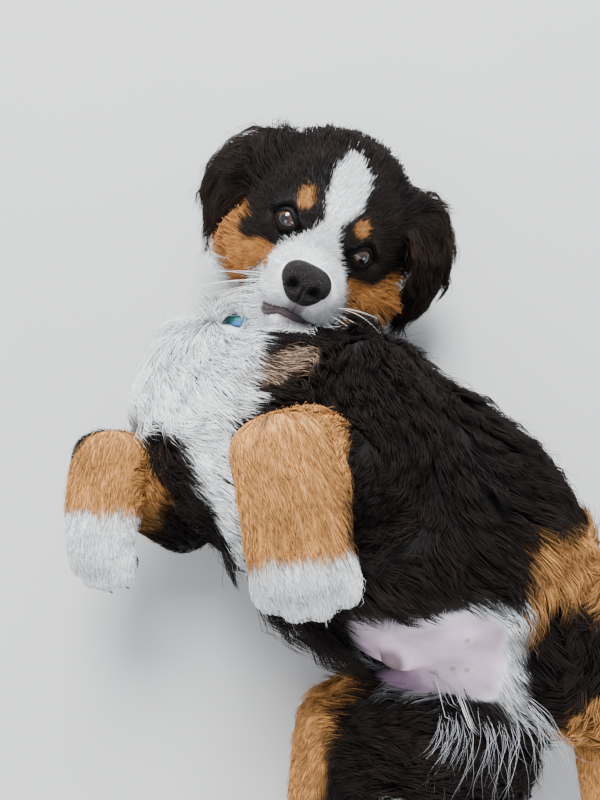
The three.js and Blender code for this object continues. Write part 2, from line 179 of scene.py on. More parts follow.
class Body:
    """A rounded form along a smooth line through stations of x, y, z, half width, half depth and roll."""

    def __init__(self, stations, front=(0, 0, 1), caps=(20, 20), bow=0, on_head=False, lie=1, inset=3.5):
        rows = np.array([list(station) + [0] * (6 - len(station)) for station in stations], float)
        self.line, self.sizes = rows[:, :3], rows[:, 3:]
        self.front, self.caps, self.bow, self.on_head = np.array(front, float), caps, bow, on_head
        self.lie, self.inset = lie, inset

    def frames(self, t):
        """The line's points, its own three axes there, and the half width and half depth."""
        at = catmull_rom(self.line, t, True)
        along = unit(catmull_rom(self.line, t + 1e-3, True) - catmull_rom(self.line, t - 1e-3, True))
        size = catmull_rom(self.sizes, t, False)
        roll = np.radians(size[:, 2:3])
        front = np.broadcast_to(self.front, at.shape)
        lean = np.sum(along * front, axis=1, keepdims=True)
        turned = front * np.cos(roll) + np.cross(along, front) * np.sin(roll)
        front = turned + along * lean * (1 - np.cos(roll))
        front = unit(front - along * np.sum(along * front, axis=1, keepdims=True))
        return at, along, front, np.cross(along, front), size[:, 0:1], size[:, 1:2]

    def place(self, t, x, z, past, grow):
        """Points across and in front of the line, as shares of its half sizes with some growth added."""
        at, along, front, across, wide, deep = self.frames(t)
        p = at + across * x * (wide + grow) + front * (z * (deep + grow) + self.bow * x * x) + along * past
        return from_head(p) if self.on_head else p + ORIGIN

    def grid(self, grow, rows, sides):
        """Rings of points from one rounded end to the other, with t, angle and the way along."""
        cap = np.radians(np.linspace(84, 12, 7))
        t = np.concatenate([np.zeros(7), np.linspace(0, 1, rows), np.ones(7)])
        bend = np.concatenate([-cap, np.zeros(rows), cap[::-1]])
        angle = np.linspace(0, 2 * np.pi, sides, endpoint=False)
        tt, aa = (a.ravel() for a in np.meshgrid(t, angle, indexing="ij"))
        bb = np.repeat(bend, sides)
        reach = np.where(bb < 0, self.caps[0], self.caps[1]) + grow
        x, z = np.cos(aa) * np.cos(bb), np.sin(aa) * np.cos(bb)
        past = (reach * np.sin(bb))[:, None]
        p = self.place(tt, x[:, None], z[:, None], past, grow)
        along = self.frames(tt)[1]
        along = along @ HEAD.T if self.on_head else along
        return p, tt, aa, along

    def shell(self, grow, rows=40, sides=44):
        """Points and faces of the form's closed surface."""
        p = self.grid(grow, rows, sides)[0]
        rings = len(p) // sides
        first = np.arange(rings - 1)[:, None] * sides
        i = np.arange(sides)[None, :]
        j = (i + 1) % sides
        corners = [first + i, first + j, first + sides + j, first + sides + i]
        faces = np.stack(corners, -1).reshape(-1, 4).tolist()
        ends = [p[:sides].mean(0), p[-sides:].mean(0)]
        n, last = len(p), len(p) - sides
        faces += [[n, (k + 1) % sides, k] for k in range(sides)]
        faces += [[n + 1, last + k, last + (k + 1) % sides] for k in range(sides)]
        return np.vstack([p, ends]), faces


def ball(centre, half, sides=28, rings=18):
    """An ellipsoid in the head's frame."""
    polar = np.linspace(0, np.pi, rings + 1)[1:-1]
    around = np.linspace(0, 2 * np.pi, sides, endpoint=False)
    pp, rr = (a.ravel() for a in np.meshgrid(polar, around, indexing="ij"))
    p = np.stack([np.sin(pp) * np.cos(rr), np.sin(pp) * np.sin(rr), np.cos(pp)], 1)
    p = np.vstack([p, [[0, 0, 1], [0, 0, -1]]]) * half + centre
    faces = []
    for r in range(rings - 2):
        for s in range(sides):
            a, b = r * sides + s, r * sides + (s + 1) % sides
            faces.append([a, a + sides, b + sides, b])
    top, bottom, last = len(p) - 2, len(p) - 1, (rings - 2) * sides
    faces += [[top, s, (s + 1) % sides] for s in range(sides)]
    faces += [[bottom, last + (s + 1) % sides, last + s] for s in range(sides)]
    return from_head(p), faces


# Forms of the body, as stations of x, y, z, half width, half depth and roll
FORMS = {
    "jaw": Body(
        [[0, -18, -52, 30, 16], [0, 8, -57, 25, 12], [0, 28, -58, 21, 11], [0, 40, -57, 16, 9]],
        caps=(12, 9), on_head=True, inset=1.5,
    ),
    "skull": Body(
        [
            [0, -92, -6, 44, 48], [0, -70, 0, 62, 65], [0, -45, 1, 69, 69], [0, -22, -8, 63, 58],
            [0, -6, -14, 54, 46],
        ],
        caps=(22, 20), on_head=True, inset=4,
    ),
    "muzzle": Body(
        [[0, -10, -30, 40, 29], [0, 14, -30, 35, 24], [0, 32, -29, 32, 21], [0, 42, -28, 27, 18]],
        caps=(10, 10), on_head=True, inset=2,
    ),
    "ear_right": Body(
        [
            [46, -56, 38, 22, 9], [68, -54, 30, 28, 9], [84, -52, 10, 31, 9], [87, -52, -18, 27, 8],
            [78, -52, -44, 14, 5],
        ],
        front=(0.72, 0.55, 0.4), caps=(8, 10), bow=-8, on_head=True, inset=3.5,
    ),
    "ear_left": Body(
        [
            [-46, -48, 44, 22, 9], [-68, -37, 44, 30, 9], [-88, -33, 20, 33, 9], [-95, -33, -10, 27, 8],
            [-90, -34, -38, 14, 5],
        ],
        front=(-0.72, 0.55, 0.4), caps=(8, 10), bow=-8, on_head=True, inset=3.5,
    ),
    "neck": Body(
        [[78, 84, 70, 66, 62], [92, 116, 62, 61, 55], [114, 146, 56, 58, 51]],
        caps=(26, 24), lie=-1, inset=7,
    ),
    "trunk": Body(
        [
            [10, 132, 70, 62, 66, 60], [18, 97, 74, 82, 88, 58], [45, 42, 84, 93, 102, 56],
            [64, -20, 88, 95, 104, 52], [76, -70, 85, 95, 100, 46], [76, -108, 80, 84, 90, 40],
            [66, -144, 74, 62, 74, 30], [55, -180, 63, 44, 52, 24],
        ],
        caps=(50, 22), inset=8.6,
    ),
    "upper_left": Body(
        [[94, 46, 132, 40, 50], [82, 22, 150, 38, 47], [64, -4, 160, 34, 40]],
        caps=(24, 20), inset=6,
    ),
    "lower_left": Body(
        [[52, -6, 150, 34, 36], [40, 14, 178, 31, 32], [28, 36, 204, 29, 29]],
        caps=(20, 18),
    ),
    "paw_left": Body(
        [[23, 44, 212, 31, 27], [10, 18, 215, 31, 25], [-4, -4, 212, 30, 22], [-9, -13, 209, 29, 20]],
        front=(-0.2, 0.1, 1), caps=(18, 16), inset=3,
    ),
    "upper_right": Body(
        [[-8, 112, 64, 40, 44], [-34, 92, 54, 36, 38], [-52, 66, 46, 32, 33]],
        caps=(24, 20), inset=6,
    ),
    "lower_right": Body(
        [[-58, 64, 46, 29, 30], [-65, 88, 74, 28, 28], [-68, 113, 100, 27, 27]],
        caps=(20, 18),
    ),
    "paw_right": Body(
        [
            [-67, 125, 106, 29, 25], [-87, 102, 110, 29, 24], [-104, 82, 110, 27, 21],
            [-110, 75, 108, 26, 19],
        ],
        front=(-0.45, 0.35, 1), caps=(18, 16), inset=3,
    ),
    "thigh_left": Body(
        [[78, -174, 86, 58, 54], [108, -156, 101, 61, 55], [136, -146, 107, 46, 44]],
        caps=(30, 22), inset=7,
    ),
    "shank_left": Body(
        [[138, -162, 102, 34, 34], [112, -192, 98, 31, 31], [86, -220, 90, 24, 24]],
        caps=(22, 16),
    ),
    "hindpaw_left": Body(
        [[80, -226, 88, 24, 23], [62, -252, 88, 25, 22], [46, -274, 88, 25, 19], [40, -283, 88, 24, 17]],
        front=(0.5, -0.3, 1), caps=(18, 16), inset=2.5,
    ),
    "thigh_right": Body(
        [[20, -184, 62, 54, 46], [-12, -148, 72, 52, 45], [-44, -116, 78, 38, 37]],
        caps=(30, 22), inset=7,
    ),
    "shank_right": Body(
        [[-52, -116, 74, 35, 35], [-84, -142, 66, 31, 31], [-112, -166, 56, 24, 24]],
        caps=(22, 16),
    ),
    "hindpaw_right": Body(
        [
            [-118, -171, 54, 24, 23], [-144, -186, 50, 25, 22], [-168, -198, 44, 25, 19],
            [-177, -202, 42, 24, 17],
        ],
        front=(-0.3, 0.5, 0.8), caps=(18, 16), inset=2.5,
    ),
    "tail": Body(
        [
            [38, -196, 42, 22, 24], [8, -224, 26, 24, 24], [-26, -256, 22, 24, 22], [-64, -276, 19, 20, 19],
            [-96, -282, 14, 12, 12],
        ],
        caps=(14, 14), inset=9.5,
    ),
}
HEAD_BALLS = [
    (shift, half)
    for side in (1, -1)
    for shift, half in (
        ((side * 45, -22, -34), (26, 28, 30)),
        ((side * 21, -8, 14), (17, 14, 10)),
        ((side * 16, 25, -41), (13.5, 22, 10)),
    )
]
PAWS = {"paw_left": 1.02, "paw_right": 0.96, "hindpaw_left": 0.9, "hindpaw_right": 0.9}
TOE_HALF = (10, 17, 11)
LABELS = list(FORMS) + ["cheek", "toes"]


def toe_places(name):
    """Each toe's centre and the paw's own axes at its end."""
    size = PAWS[name]
    at, along, front, across, _, _ = (a[0] for a in FORMS[name].frames(np.array([1.0])))
    axes = np.stack([across, along, front])
    return [
        (at + ORIGIN + np.array([k * 13.5, 13 - 2.6 * k * k, -1 - 0.9 * k * k]) * size @ axes, axes, size)
        for k in (-1.5, -0.5, 0.5, 1.5)
    ]


def new_mesh(name, points, faces, material=None):
    """A mesh from points in millimetres."""
    mesh = bpy.data.meshes.new(name)
    mesh.from_pydata([tuple(p) for p in np.asarray(points) * MM], [], [tuple(f) for f in faces])
    mesh.validate()
    if material:
        mesh.materials.append(material)
    return mesh


def show(mesh, name, smooth_shading=True):
    piece = bpy.data.objects.new(name, mesh)
    bpy.context.scene.collection.objects.link(piece)
    if smooth_shading:
        mesh.shade_smooth()
    return piece


def settle(piece, slot, *replaced):
    """Hangs a finished piece on the part's one body and hides the solids it stands for."""
    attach(piece, "root")
    if replaced:
        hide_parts(*replaced)
    return piece


def flattened(piece, name):
    """A piece with its modifiers worked into a plain mesh."""
    graph = bpy.context.evaluated_depsgraph_get()
    mesh = bpy.data.meshes.new_from_object(piece.evaluated_get(graph))
    bpy.data.objects.remove(piece)
    return show(mesh, name)


# Places on the body
MUZZLE_TOP = (0, 46, -20)


class Chart:
    """Finds the form nearest to a point, the place on that form, and the way the coat lies there."""

    def __init__(self):
        points, forms, ts, lies = [], [], [], []

        def add(p, label, t, lie):
            points.append(p)
            forms.append(np.full(len(p), LABELS.index(label)))
            ts.append(np.broadcast_to(t, len(p)))
            lies.append(np.broadcast_to(lie, p.shape))

        for name, form in FORMS.items():
            p, t, angle, along = form.grid(-form.inset, 22, 26)
            if form.on_head and not name.startswith("ear"):
                along = unit(p - from_head(MUZZLE_TOP))
                along = along + HEAD @ [-1.1, 0, 0] * smooth(-50, -62, to_head(p)[:, :1])
            if name == "ear_left":
                edge = smooth(0.1, 0.9, np.cos(angle)) * smooth(14, -6, to_head(p)[:, 2])
                along = along + HEAD @ [0.75, 0, 0] * edge[:, None]
            if name == "trunk":
                back = smooth(-46, 14, np.sum((p - form.line[0] - ORIGIN) * along, axis=1))[:, None]
                along = along * back + np.array([-0.90, -0.25, 0.20]) * (1 - back)
            add(p, name, t, along * form.lie)
        for centre, half in HEAD_BALLS:
            p = ball(np.array(centre), np.array(half), 12, 8)[0]
            add(p, "cheek", 0.0, unit(p - from_head(MUZZLE_TOP)))
        for name in PAWS:
            for at, axes, size in toe_places(name):
                ways = unit(np.random.default_rng(1).normal(size=(60, 3)))
                add(ways * np.array(TOE_HALF) * size @ axes + at, "toes", 1.0, axes[1])
        self.forms, self.ts = np.concatenate(forms), np.concatenate(ts)
        self.lies = np.vstack(lies)
        self.tree = KDTree(len(self.lies))
        for i, p in enumerate(np.vstack(points)):
            self.tree.insert(p, i)
        self.tree.balance()

    def look(self, p, near=7):
        """The form, the share t of its line and the coat's lie at points."""
        found = [self.tree.find_n(q, near) for q in p]
        index = np.array([[hit[1] for hit in hits] for hits in found])
        far = np.array([[hit[2] for hit in hits] for hits in found])
        weight = 1 / (far + 3) ** 2
        lie = unit(np.sum(self.lies[index] * weight[..., None], axis=1))
        first = index[:, 0]
        return self.forms[first], self.ts[first], lie


CHART = Chart()


def is_on(forms, *names):
    """Which points lie on the named forms."""
    return np.isin(forms, [LABELS.index(name) for name in names])


def inside(p, corners, edge):
    """How far points lie inside a polygon, as a share of a soft edge: 0 outside to 1 inside."""
    corners = np.array(corners, float)
    ahead = np.roll(corners, -1, axis=0)
    near = np.full(len(p), 1e9)
    odd = np.zeros(len(p), bool)
    for a, b in zip(corners, ahead):
        side = b - a
        share = np.clip(((p - a) @ side) / (side @ side), 0, 1)[:, None]
        near = np.minimum(near, np.linalg.norm(p - a - share * side, axis=1))
        level = (a[1] > p[:, 1]) != (b[1] > p[:, 1])
        reach = side[0] * (p[:, 1] - a[1]) / (side[1] if side[1] else 1e-9) + a[0]
        odd ^= level & (p[:, 0] < reach)
    signed = np.where(odd, near, -near)
    return smooth(-edge, edge, signed)


# Markings: the blaze as height, right edge and left edge on the head, and patches as outlines
BLAZE = np.array([
    [-75, 44, -44], [-45, 38, -39], [-24, 33, -30], [-11, 25, -23], [0, 13, -11],
    [14, 7, -6], [28, 11, -14], [44, 13, -16], [52, 12.5, -10], [60, 9, 4],
])
BELLY = [
    (-4, -58), (12, -75), (34, -86), (56, -97), (62, -112), (50, -128), (34, -144), (26, -142),
    (20, -132), (10, -130), (0, -122), (-12, -112), (-14, -94), (-12, -76),
]
CHEEK_RIGHT = [
    (28, -19), (38, -21), (45, -24), (53, -26), (59, -23), (60, -19), (57, -10), (61, -6),
    (68, -12), (78, -22), (77, -40), (67, -50), (61, -54), (55, -57), (46, -66), (41, -64),
    (37, -57), (38, -46), (34, -35), (28, -27),
]
GROIN = [
    (58, -95), (76, -106), (64, -124), (56, -136), (47, -152), (40, -169), (36, -159),
    (35, -147), (48, -126),
]
BAND_LEFT = np.array([
    [-12, -43], [2, -44], [41, -35], [63, -31], [81, -24], [105, -24], [120, -30], [130, -100],
])
BAND_RIGHT = np.array([
    [-12, -46], [8, -38], [30, -22], [58, -11], [74, 5], [82, 32], [94, 35], [121, 60], [150, 80],
])
BROWS = ((23, 19.5, 5.0, 7.6), (-21.5, 17.8, 6.4, 5.8))
HIP = [
    (106, -86), (124, -96), (160, -110), (170, -150), (120, -152), (104, -146), (110, -132),
    (101, -120), (86, -116), (78, -120), (66, -126), (80, -106), (92, -97),
]


def on_face(forms):
    return is_on(forms, "jaw", "skull", "muzzle", "cheek")


def markings(p, forms, ts):
    """Shares of white, of tan and of bare skin at points, and how brown the black is there."""
    p = p + np.stack([ripple(p, 9, s) for s in (1, 2, 3)], 1) * 2.2
    row = p - ORIGIN
    head = to_head(p)
    x, y, z = head.T
    on_head = on_face(forms)
    on_ear = is_on(forms, "ear_right", "ear_left")
    trunk = is_on(forms, "trunk", "neck")

    right = np.interp(z, BLAZE[:, 0], BLAZE[:, 1])
    left = np.interp(z, BLAZE[:, 0], BLAZE[:, 2])
    edge = np.minimum(right - x, x - left)
    blaze = smooth(-1.8, 1.8, edge) * (z < 60) * (y > -40)
    chin = smooth(-1.5, 1.5, y + 12) * (z < -46)
    fluff = smooth(-3, 3, -z - np.interp(x, [8, 38, 50, 60, 70], [50, 54, 62, 58, 46])) * (x > 8)
    cheek_right = inside(head[:, [0, 2]], CHEEK_RIGHT, 2) * (y > -46)
    pale = np.maximum(np.maximum(blaze, chin), fluff)
    white = np.where(on_head, pale * (1 - cheek_right * (x > 30)), 0.0)

    brow = 0
    for cx, cz, wide, tall in BROWS:
        brow = brow + (1 - smooth(0.75, 1.2, np.hypot((x - cx) / wide, (z - cz) / tall)))
    brow = np.minimum(1, brow)
    top = np.interp(-x, [24, 30, 49, 57, 62, 84], [-18, -18, -16, -8, -2, 4])
    foot = np.interp(-x, [40, 57, 80], [54, 48, 37])
    cheek_left = smooth(-2, 2, top - z) * (x < -20) * smooth(-2, 2, z + foot)
    spots = np.maximum(np.maximum(0.85 * brow, cheek_right), cheek_left)
    tan = np.where(on_head, spots * (y > -46), 0.0)

    bx, by, bz = row.T
    band_left = np.interp(by, BAND_LEFT[:, 0], BAND_LEFT[:, 1])
    band_right = np.interp(by, BAND_RIGHT[:, 0], BAND_RIGHT[:, 1])
    chest = smooth(-2.5, 2.5, np.minimum(bx - band_left, band_right - bx))
    chest = chest * smooth(-12, -4, by) * (bz > 40)
    white = np.where(trunk, chest, white)
    patch = 1 - smooth(0.7, 1.3, np.hypot((bx - 55) / 21, (by - 92 + 0.15 * (bx - 52)) / 10))
    patch = patch * (0.62 + 0.38 * np.sign(np.sin((by - 0.2 * bx) * 0.75)))
    edge_patch = 1 - smooth(0.7, 1.3, np.hypot((bx + 44) / 14, (by - 138) / 12))
    hip = inside(row[:, :2], HIP, 7) * (bz > 60)
    tan = np.where(trunk, np.maximum(np.maximum(patch, edge_patch * 0.7) * (1 - chest), hip), tan)
    groin = inside(row[:, :2], GROIN, 6) * (bz > 95)
    white = np.where(trunk | is_on(forms, "thigh_left"), np.maximum(white, groin * 0.85), white)
    start, side = np.array([-8, -114]), np.array([17, -32])
    share = np.clip((row[:, :2] - start) @ side / (side @ side), 0, 1)
    gap = np.linalg.norm(row[:, :2] - start - share[:, None] * side, axis=1) / (2.5 + 4 * share)
    streak = smooth(1.5, 0.6, gap) * (0.45 + 0.45 * share) * (bz > 85)
    white = np.where(trunk | is_on(forms, "thigh_right"), np.maximum(white, streak), white)
    white = np.where(trunk, np.maximum(white, 0.22 * patch), white)
    bare = np.where(is_on(forms, "trunk", "thigh_left", "thigh_right"), inside(row[:, :2], BELLY, 7), 0.0)
    bare = bare * smooth(80, 95, bz)

    toes = is_on(forms, "toes")
    far = (row - [-67, 125, 106]) @ unit(np.array([-43.0, -50, 0]))
    right_foot = is_on(forms, "paw_right", "lower_right") | (toes & (bx < -60) & (by > 0))
    wrist = smooth(98, 104, bz) + is_on(forms, "paw_right", "toes")
    white = np.where(right_foot, smooth(-2.5, 2.5, far - 41) * np.minimum(wrist, 1), white)
    sleeve = np.maximum(smooth(62, 84, by + 5 * ripple(p, 12, 6)), is_on(forms, "paw_right"))
    sleeve = sleeve * smooth(42, 34, 0.8 * by - 0.6 * bz + 5 * ripple(p, 9, 7))
    tan = np.where(right_foot, sleeve, tan)
    far = (row - [23, 44, 212]) @ unit(np.array([-32.0, -57, 0]))
    left_foot = is_on(forms, "paw_left", "lower_left") | (toes & (bz > 160))
    lowest = 170 + 22 * is_on(forms, "lower_left")
    white = np.where(left_foot, smooth(-2.5, 2.5, far - 61) * (bz > lowest), white)
    edge = np.interp(by, [-60, -9, 11, 29, 70], [-8, 25, 40, 53, 76])
    tan = np.where(left_foot, smooth(5, -5, bx - edge + 5 * ripple(p, 12, 6)), tan)

    leg = is_on(forms, "thigh_right", "shank_right", "hindpaw_right") | (toes & (bx < -120) & (by < 0))
    rel = row[:, :2] - [-52, -116]
    down, out = rel @ unit(np.array([-60.0, -50])), rel @ unit(np.array([-50.0, 60]))
    rim = np.maximum(smooth(-5, 5, out - 11 - 0.3 * np.minimum(down, 0)), smooth(62, 80, down))
    tan = np.where(leg, rim, tan)
    white = np.where(leg, smooth(96, 104, down), white)
    leg = is_on(forms, "thigh_left", "shank_left", "hindpaw_left") | (toes & (by < -200) & (bx > 0))
    tan = np.where(leg, np.maximum(np.maximum(hip, smooth(126, 140, bx)), smooth(-178, -190, by)), tan)
    white = np.where(leg, np.maximum(groin * 0.85, smooth(-250, -262, by)), white)
    white = np.where(is_on(forms, "tail"), smooth(0.86, 0.93, ts), white)
    white = np.maximum(white, smooth(0.02, 0.3, bare) * (0.3 + 0.7 * smooth(5, 40, bx)))
    brown = np.where(on_ear, 0.75, 0.3) + 0.25 * ripple(p, 26, 5)
    return white, tan * (1 - white), bare, np.clip(brown, 0, 1)


# Colours and sizes that a user may change
class PuppySettings(bpy.types.PropertyGroup):
    """Sizes and colours of the coat and skin."""

    black: FloatVectorProperty(
        name="Black",
        description="Colour of the black coat",
        subtype="COLOR",
        default=(0.0055, 0.0046, 0.0046),
    )
    brown: FloatVectorProperty(
        name="Brown",
        description="Sun-browned tips of the black coat",
        subtype="COLOR",
        default=(0.025, 0.0145, 0.010),
    )
    tan: FloatVectorProperty(
        name="Tan",
        description="Colour of the tan marks",
        subtype="COLOR",
        default=(0.60, 0.28, 0.084),
    )
    white: FloatVectorProperty(
        name="White",
        description="Colour of the white marks",
        subtype="COLOR",
        default=(0.88, 0.88, 0.87),
    )
    belly: FloatVectorProperty(
        name="Bare belly",
        description="Colour of the bare skin",
        subtype="COLOR",
        default=(0.56, 0.40, 0.51),
    )
    voxel: FloatProperty(
        name="Skin grain",
        description="Spacing of the skin's points",
        default=0.0026,
        min=0.0015,
        unit="LENGTH",
    )
    fullness: FloatProperty(
        name="Coat fullness",
        description="Tufts against the full count",
        default=1.0,
        min=0.1,
        max=1.2,
        subtype="FACTOR",
    )
    seed: IntProperty(name="Seed", description="Start of every random draw", default=7, min=0)


def settings():
    return bpy.context.scene.puppy


def tint(colour, shade, share):
    """A colour with a share of another one in it."""
    return colour * (1 - share) + np.array(shade) * share


def tones(p, forms, ts):
    """Colours of the skin or of tufts at points, with the shares of white, tan and bare skin."""
    look = settings()
    white, tan, bare, brown = markings(p, forms, ts)
    shade = ripple(p, 14, 8)[:, None]
    black = tint(np.array(look.black), look.brown, brown[:, None])
    depth = np.where(is_on(forms, "ear_left", "ear_right"), 1.3, np.where(on_face(forms), 0.95, 0.7))
    black = black * depth[:, None]
    rust = np.array(look.tan) * (1 + 0.16 * shade) * (1 - 0.12 * ripple(p, 40, 4)[:, None])
    rust = np.where(on_face(forms)[:, None], rust * [0.74, 0.66, 0.58], rust)
    rust = np.where(is_on(forms, "trunk", "thigh_left", "shank_left")[:, None], rust * 0.78, rust)
    colour = tint(black * (1 + 0.4 * shade), rust, tan[:, None])
    colour = tint(colour, np.array(look.white) * (1 + 0.04 * shade), white[:, None])
    return np.clip(colour, 0.002, 0.95), white, tan, bare


# Materials
class Wire:
    """A socket in a material. Arithmetic on it adds Math nodes."""

    def __init__(self, tree, socket):
        self.tree, self.socket = tree, socket

    def _math(self, operation, *values):
        node = self.tree.nodes.new("ShaderNodeMath")
        node.operation = operation
        for target, value in zip(node.inputs, values):
            if isinstance(value, Wire):
                self.tree.links.new(value.socket, target)
            else:
                target.default_value = value
        return Wire(self.tree, node.outputs[0])

    def __add__(self, other):
        return self._math("ADD", self, other)

    def __radd__(self, other):
        return self._math("ADD", other, self)

    def __sub__(self, other):
        return self._math("SUBTRACT", self, other)

    def __rsub__(self, other):
        return self._math("SUBTRACT", other, self)

    def __mul__(self, other):
        return self._math("MULTIPLY", self, other)

    def __rmul__(self, other):
        return self._math("MULTIPLY", other, self)


class Finish:
    """A material and the nodes that make it."""

    def __init__(self, name):
        self.material = bpy.data.materials.new(name)
        self.material.use_nodes = True
        self.tree = self.material.node_tree
        self.tree.nodes.clear()
        self.shader = self.tree.nodes.new("ShaderNodeBsdfPrincipled")
        out = self.tree.nodes.new("ShaderNodeOutputMaterial")
        self.tree.links.new(self.shader.outputs[0], out.inputs[0])

    def node(self, kind, options=None, values=None, output=0):
        """Adds a node with its options and inputs, and gives one of its outputs."""
        node = self.tree.nodes.new(kind)
        for key, value in (options or {}).items():
            setattr(node, key, value)
        for key, value in (values or {}).items():
            self.put(node.inputs[key], value)
        return Wire(self.tree, node.outputs[output])

    def put(self, socket, value):
        if isinstance(value, Wire):
            self.tree.links.new(value.socket, socket)
        else:
            socket.default_value = value

    def surface(self, **values):
        for key, value in values.items():
            self.put(self.shader.inputs[key.replace("_", " ")], value)
        return self.material

    def place(self):
        """Object coordinates."""
        return self.node("ShaderNodeTexCoord", output=3)

    def grain(self, scale, detail):
        values = {"Vector": self.place(), "Scale": scale, "Detail": detail}
        return self.node("ShaderNodeTexNoise", values=values)

    def bump(self, height, depth, strength):
        values = {"Height": height, "Distance": depth, "Strength": strength}
        return self.node("ShaderNodeBump", values=values)

    def mix(self, share, a, b):
        node = self.tree.nodes.new("ShaderNodeMix")
        node.data_type = "RGBA"
        self.put(node.inputs[0], share)
        self.put(node.inputs[6], a if isinstance(a, Wire) else (*a, 1))
        self.put(node.inputs[7], b if isinstance(b, Wire) else (*b, 1))
        return Wire(self.tree, node.outputs[2])


def skin_finish():
    made = Finish("skin")
    tone = made.node("ShaderNodeAttribute", {"attribute_name": "tone"})
    bare = made.node("ShaderNodeAttribute", {"attribute_name": "bare"}, output=2)
    spread = {"Value": made.grain(45, 6), "From Min": 0.35, "From Max": 0.65}
    mottle = made.node("ShaderNodeMapRange", values=spread)
    pores = made.grain(1500, 2)
    belly = settings().belly
    flesh = made.mix(mottle, [0.78 * c for c in belly], [min(1, 1.15 * c) for c in belly])
    colour = made.mix(bare, tone, flesh)
    relief = pores * (1.6 - bare) + mottle * 0.8
    return made.surface(
        Base_Color=colour,
        Roughness=0.72 - 0.2 * bare,
        Normal=made.bump(relief, 0.0006, 0.7),
        Specular_IOR_Level=0.3,
        Subsurface_Weight=0.0,
    )


def coat_finish():
    made = Finish("coat")
    tone = made.node("ShaderNodeAttribute", {"attribute_name": "tone"})
    strands = made.grain(2600, 2)
    darker = made.node("ShaderNodeHueSaturation", values={"Value": 0.72, "Color": tone})
    colour = made.mix(strands * 0.5, tone, darker)
    return made.surface(
        Base_Color=colour,
        Roughness=0.56 + 0.25 * strands,
        Normal=made.bump(strands, 0.0002, 0.4),
        Specular_IOR_Level=0.13,
    )


def plain_finish(name, colour, roughness, scale, depth, spread=0.35, **values):
    """A finish with mottled colour and a fine relief, for leather, horn and the like."""
    made = Finish(name)
    patches = made.grain(scale / 6, 4)
    fine = made.node("ShaderNodeTexVoronoi", values={"Vector": made.place(), "Scale": scale})
    low, high = [c * (1 - spread) for c in colour], [min(1, c * (1 + spread)) for c in colour]
    tone = made.mix(patches, low, high)
    return made.surface(
        Base_Color=tone,
        Roughness=roughness + 0.25 * patches - 0.12,
        Normal=made.bump(fine + patches * 0.5, depth, 0.6),
        **values,
    )


def eye_finish():
    made = Finish("eye")
    tone = made.node("ShaderNodeAttribute", {"attribute_name": "tone"})
    streaks = made.grain(900, 3)
    return made.surface(
        Base_Color=made.mix(streaks * 0.5, tone, (0.012, 0.006, 0.004)),
        Roughness=0.06 + 0.04 * streaks,
        Normal=made.bump(streaks, 0.00002, 0.2),
        Coat_Weight=0.8,
        Coat_Roughness=0.03,
        IOR=1.38,
    )


def nose_finish():
    made = Finish("nose leather")
    values = {"Vector": made.place(), "Scale": 780.0}
    cells = made.node("ShaderNodeTexVoronoi", {"feature": "DISTANCE_TO_EDGE"}, values)
    dust = made.grain(160, 5)
    # Painted shade: the nostril holes are painted nearly black, by the share kept in the "bare" attribute.
    nostril_shade = made.node("ShaderNodeAttribute", {"attribute_name": "bare"}, output=2)
    tone = made.mix(dust, (0.004, 0.003, 0.003), (0.016, 0.011, 0.010))
    return made.surface(
        Base_Color=made.mix(nostril_shade, tone, (0.002, 0.002, 0.002)),
        Roughness=0.40 + 0.22 * dust,
        Normal=made.bump(cells + dust * 0.25, 0.0012, 1.0),
        Specular_IOR_Level=0.2,
        Coat_Weight=0.0,
    )


def lip_finish():
    made = Finish("lips")
    mottle = made.grain(230, 5)
    fine = made.grain(1400, 3)
    return made.surface(
        Base_Color=made.mix(mottle, (0.020, 0.010, 0.012), (0.085, 0.042, 0.048)),
        Roughness=0.34 + 0.22 * mottle,
        Normal=made.bump(fine + mottle, 0.0007, 0.7),
        Coat_Weight=0.15,
    )


def strap_finish():
    made = Finish("collar strap")
    tone = made.node("ShaderNodeAttribute", {"attribute_name": "tone"})
    uv = made.node("ShaderNodeUVMap", {"uv_map": "OFBake"})
    ribs = made.node("ShaderNodeTexWave", {"bands_direction": "DIAGONAL"}, {"Vector": uv, "Scale": 160.0})
    worn = made.grain(90, 4)
    return made.surface(
        Base_Color=made.mix(worn * 0.4, tone, (0.10, 0.14, 0.26)),
        Roughness=0.75 + 0.15 * ribs,
        Normal=made.bump(ribs + worn, 0.0004, 0.6),
    )


# Meshes
def paint(mesh, name, values):
    """Writes one colour or number for each point of a mesh."""
    values = np.asarray(values, float)
    if values.ndim == 1:
        layer = mesh.attributes.new(name, "FLOAT", "POINT")
        layer.data.foreach_set("value", values.astype(np.float32))
    else:
        layer = mesh.attributes.new(name, "FLOAT_COLOR", "POINT")
        full = np.ones((len(values), 4), np.float32)
        full[:, :3] = values
        layer.data.foreach_set("color", full.ravel())


def points_of(mesh):
    """A mesh's points in millimetres."""
    p = np.empty(len(mesh.vertices) * 3)
    mesh.vertices.foreach_get("co", p)
    return p.reshape(-1, 3) / MM


def normals_of(mesh):
    n = np.empty(len(mesh.vertices) * 3)
    mesh.vertices.foreach_get("normal", n)
    return n.reshape(-1, 3)


def put_points(mesh, p):
    mesh.vertices.foreach_set("co", (np.asarray(p) * MM).ravel())
    mesh.update()


def edges_of(mesh):
    e = np.empty(len(mesh.edges) * 2, np.int64)
    mesh.edges.foreach_get("vertices", e)
    return e.reshape(-1, 2)


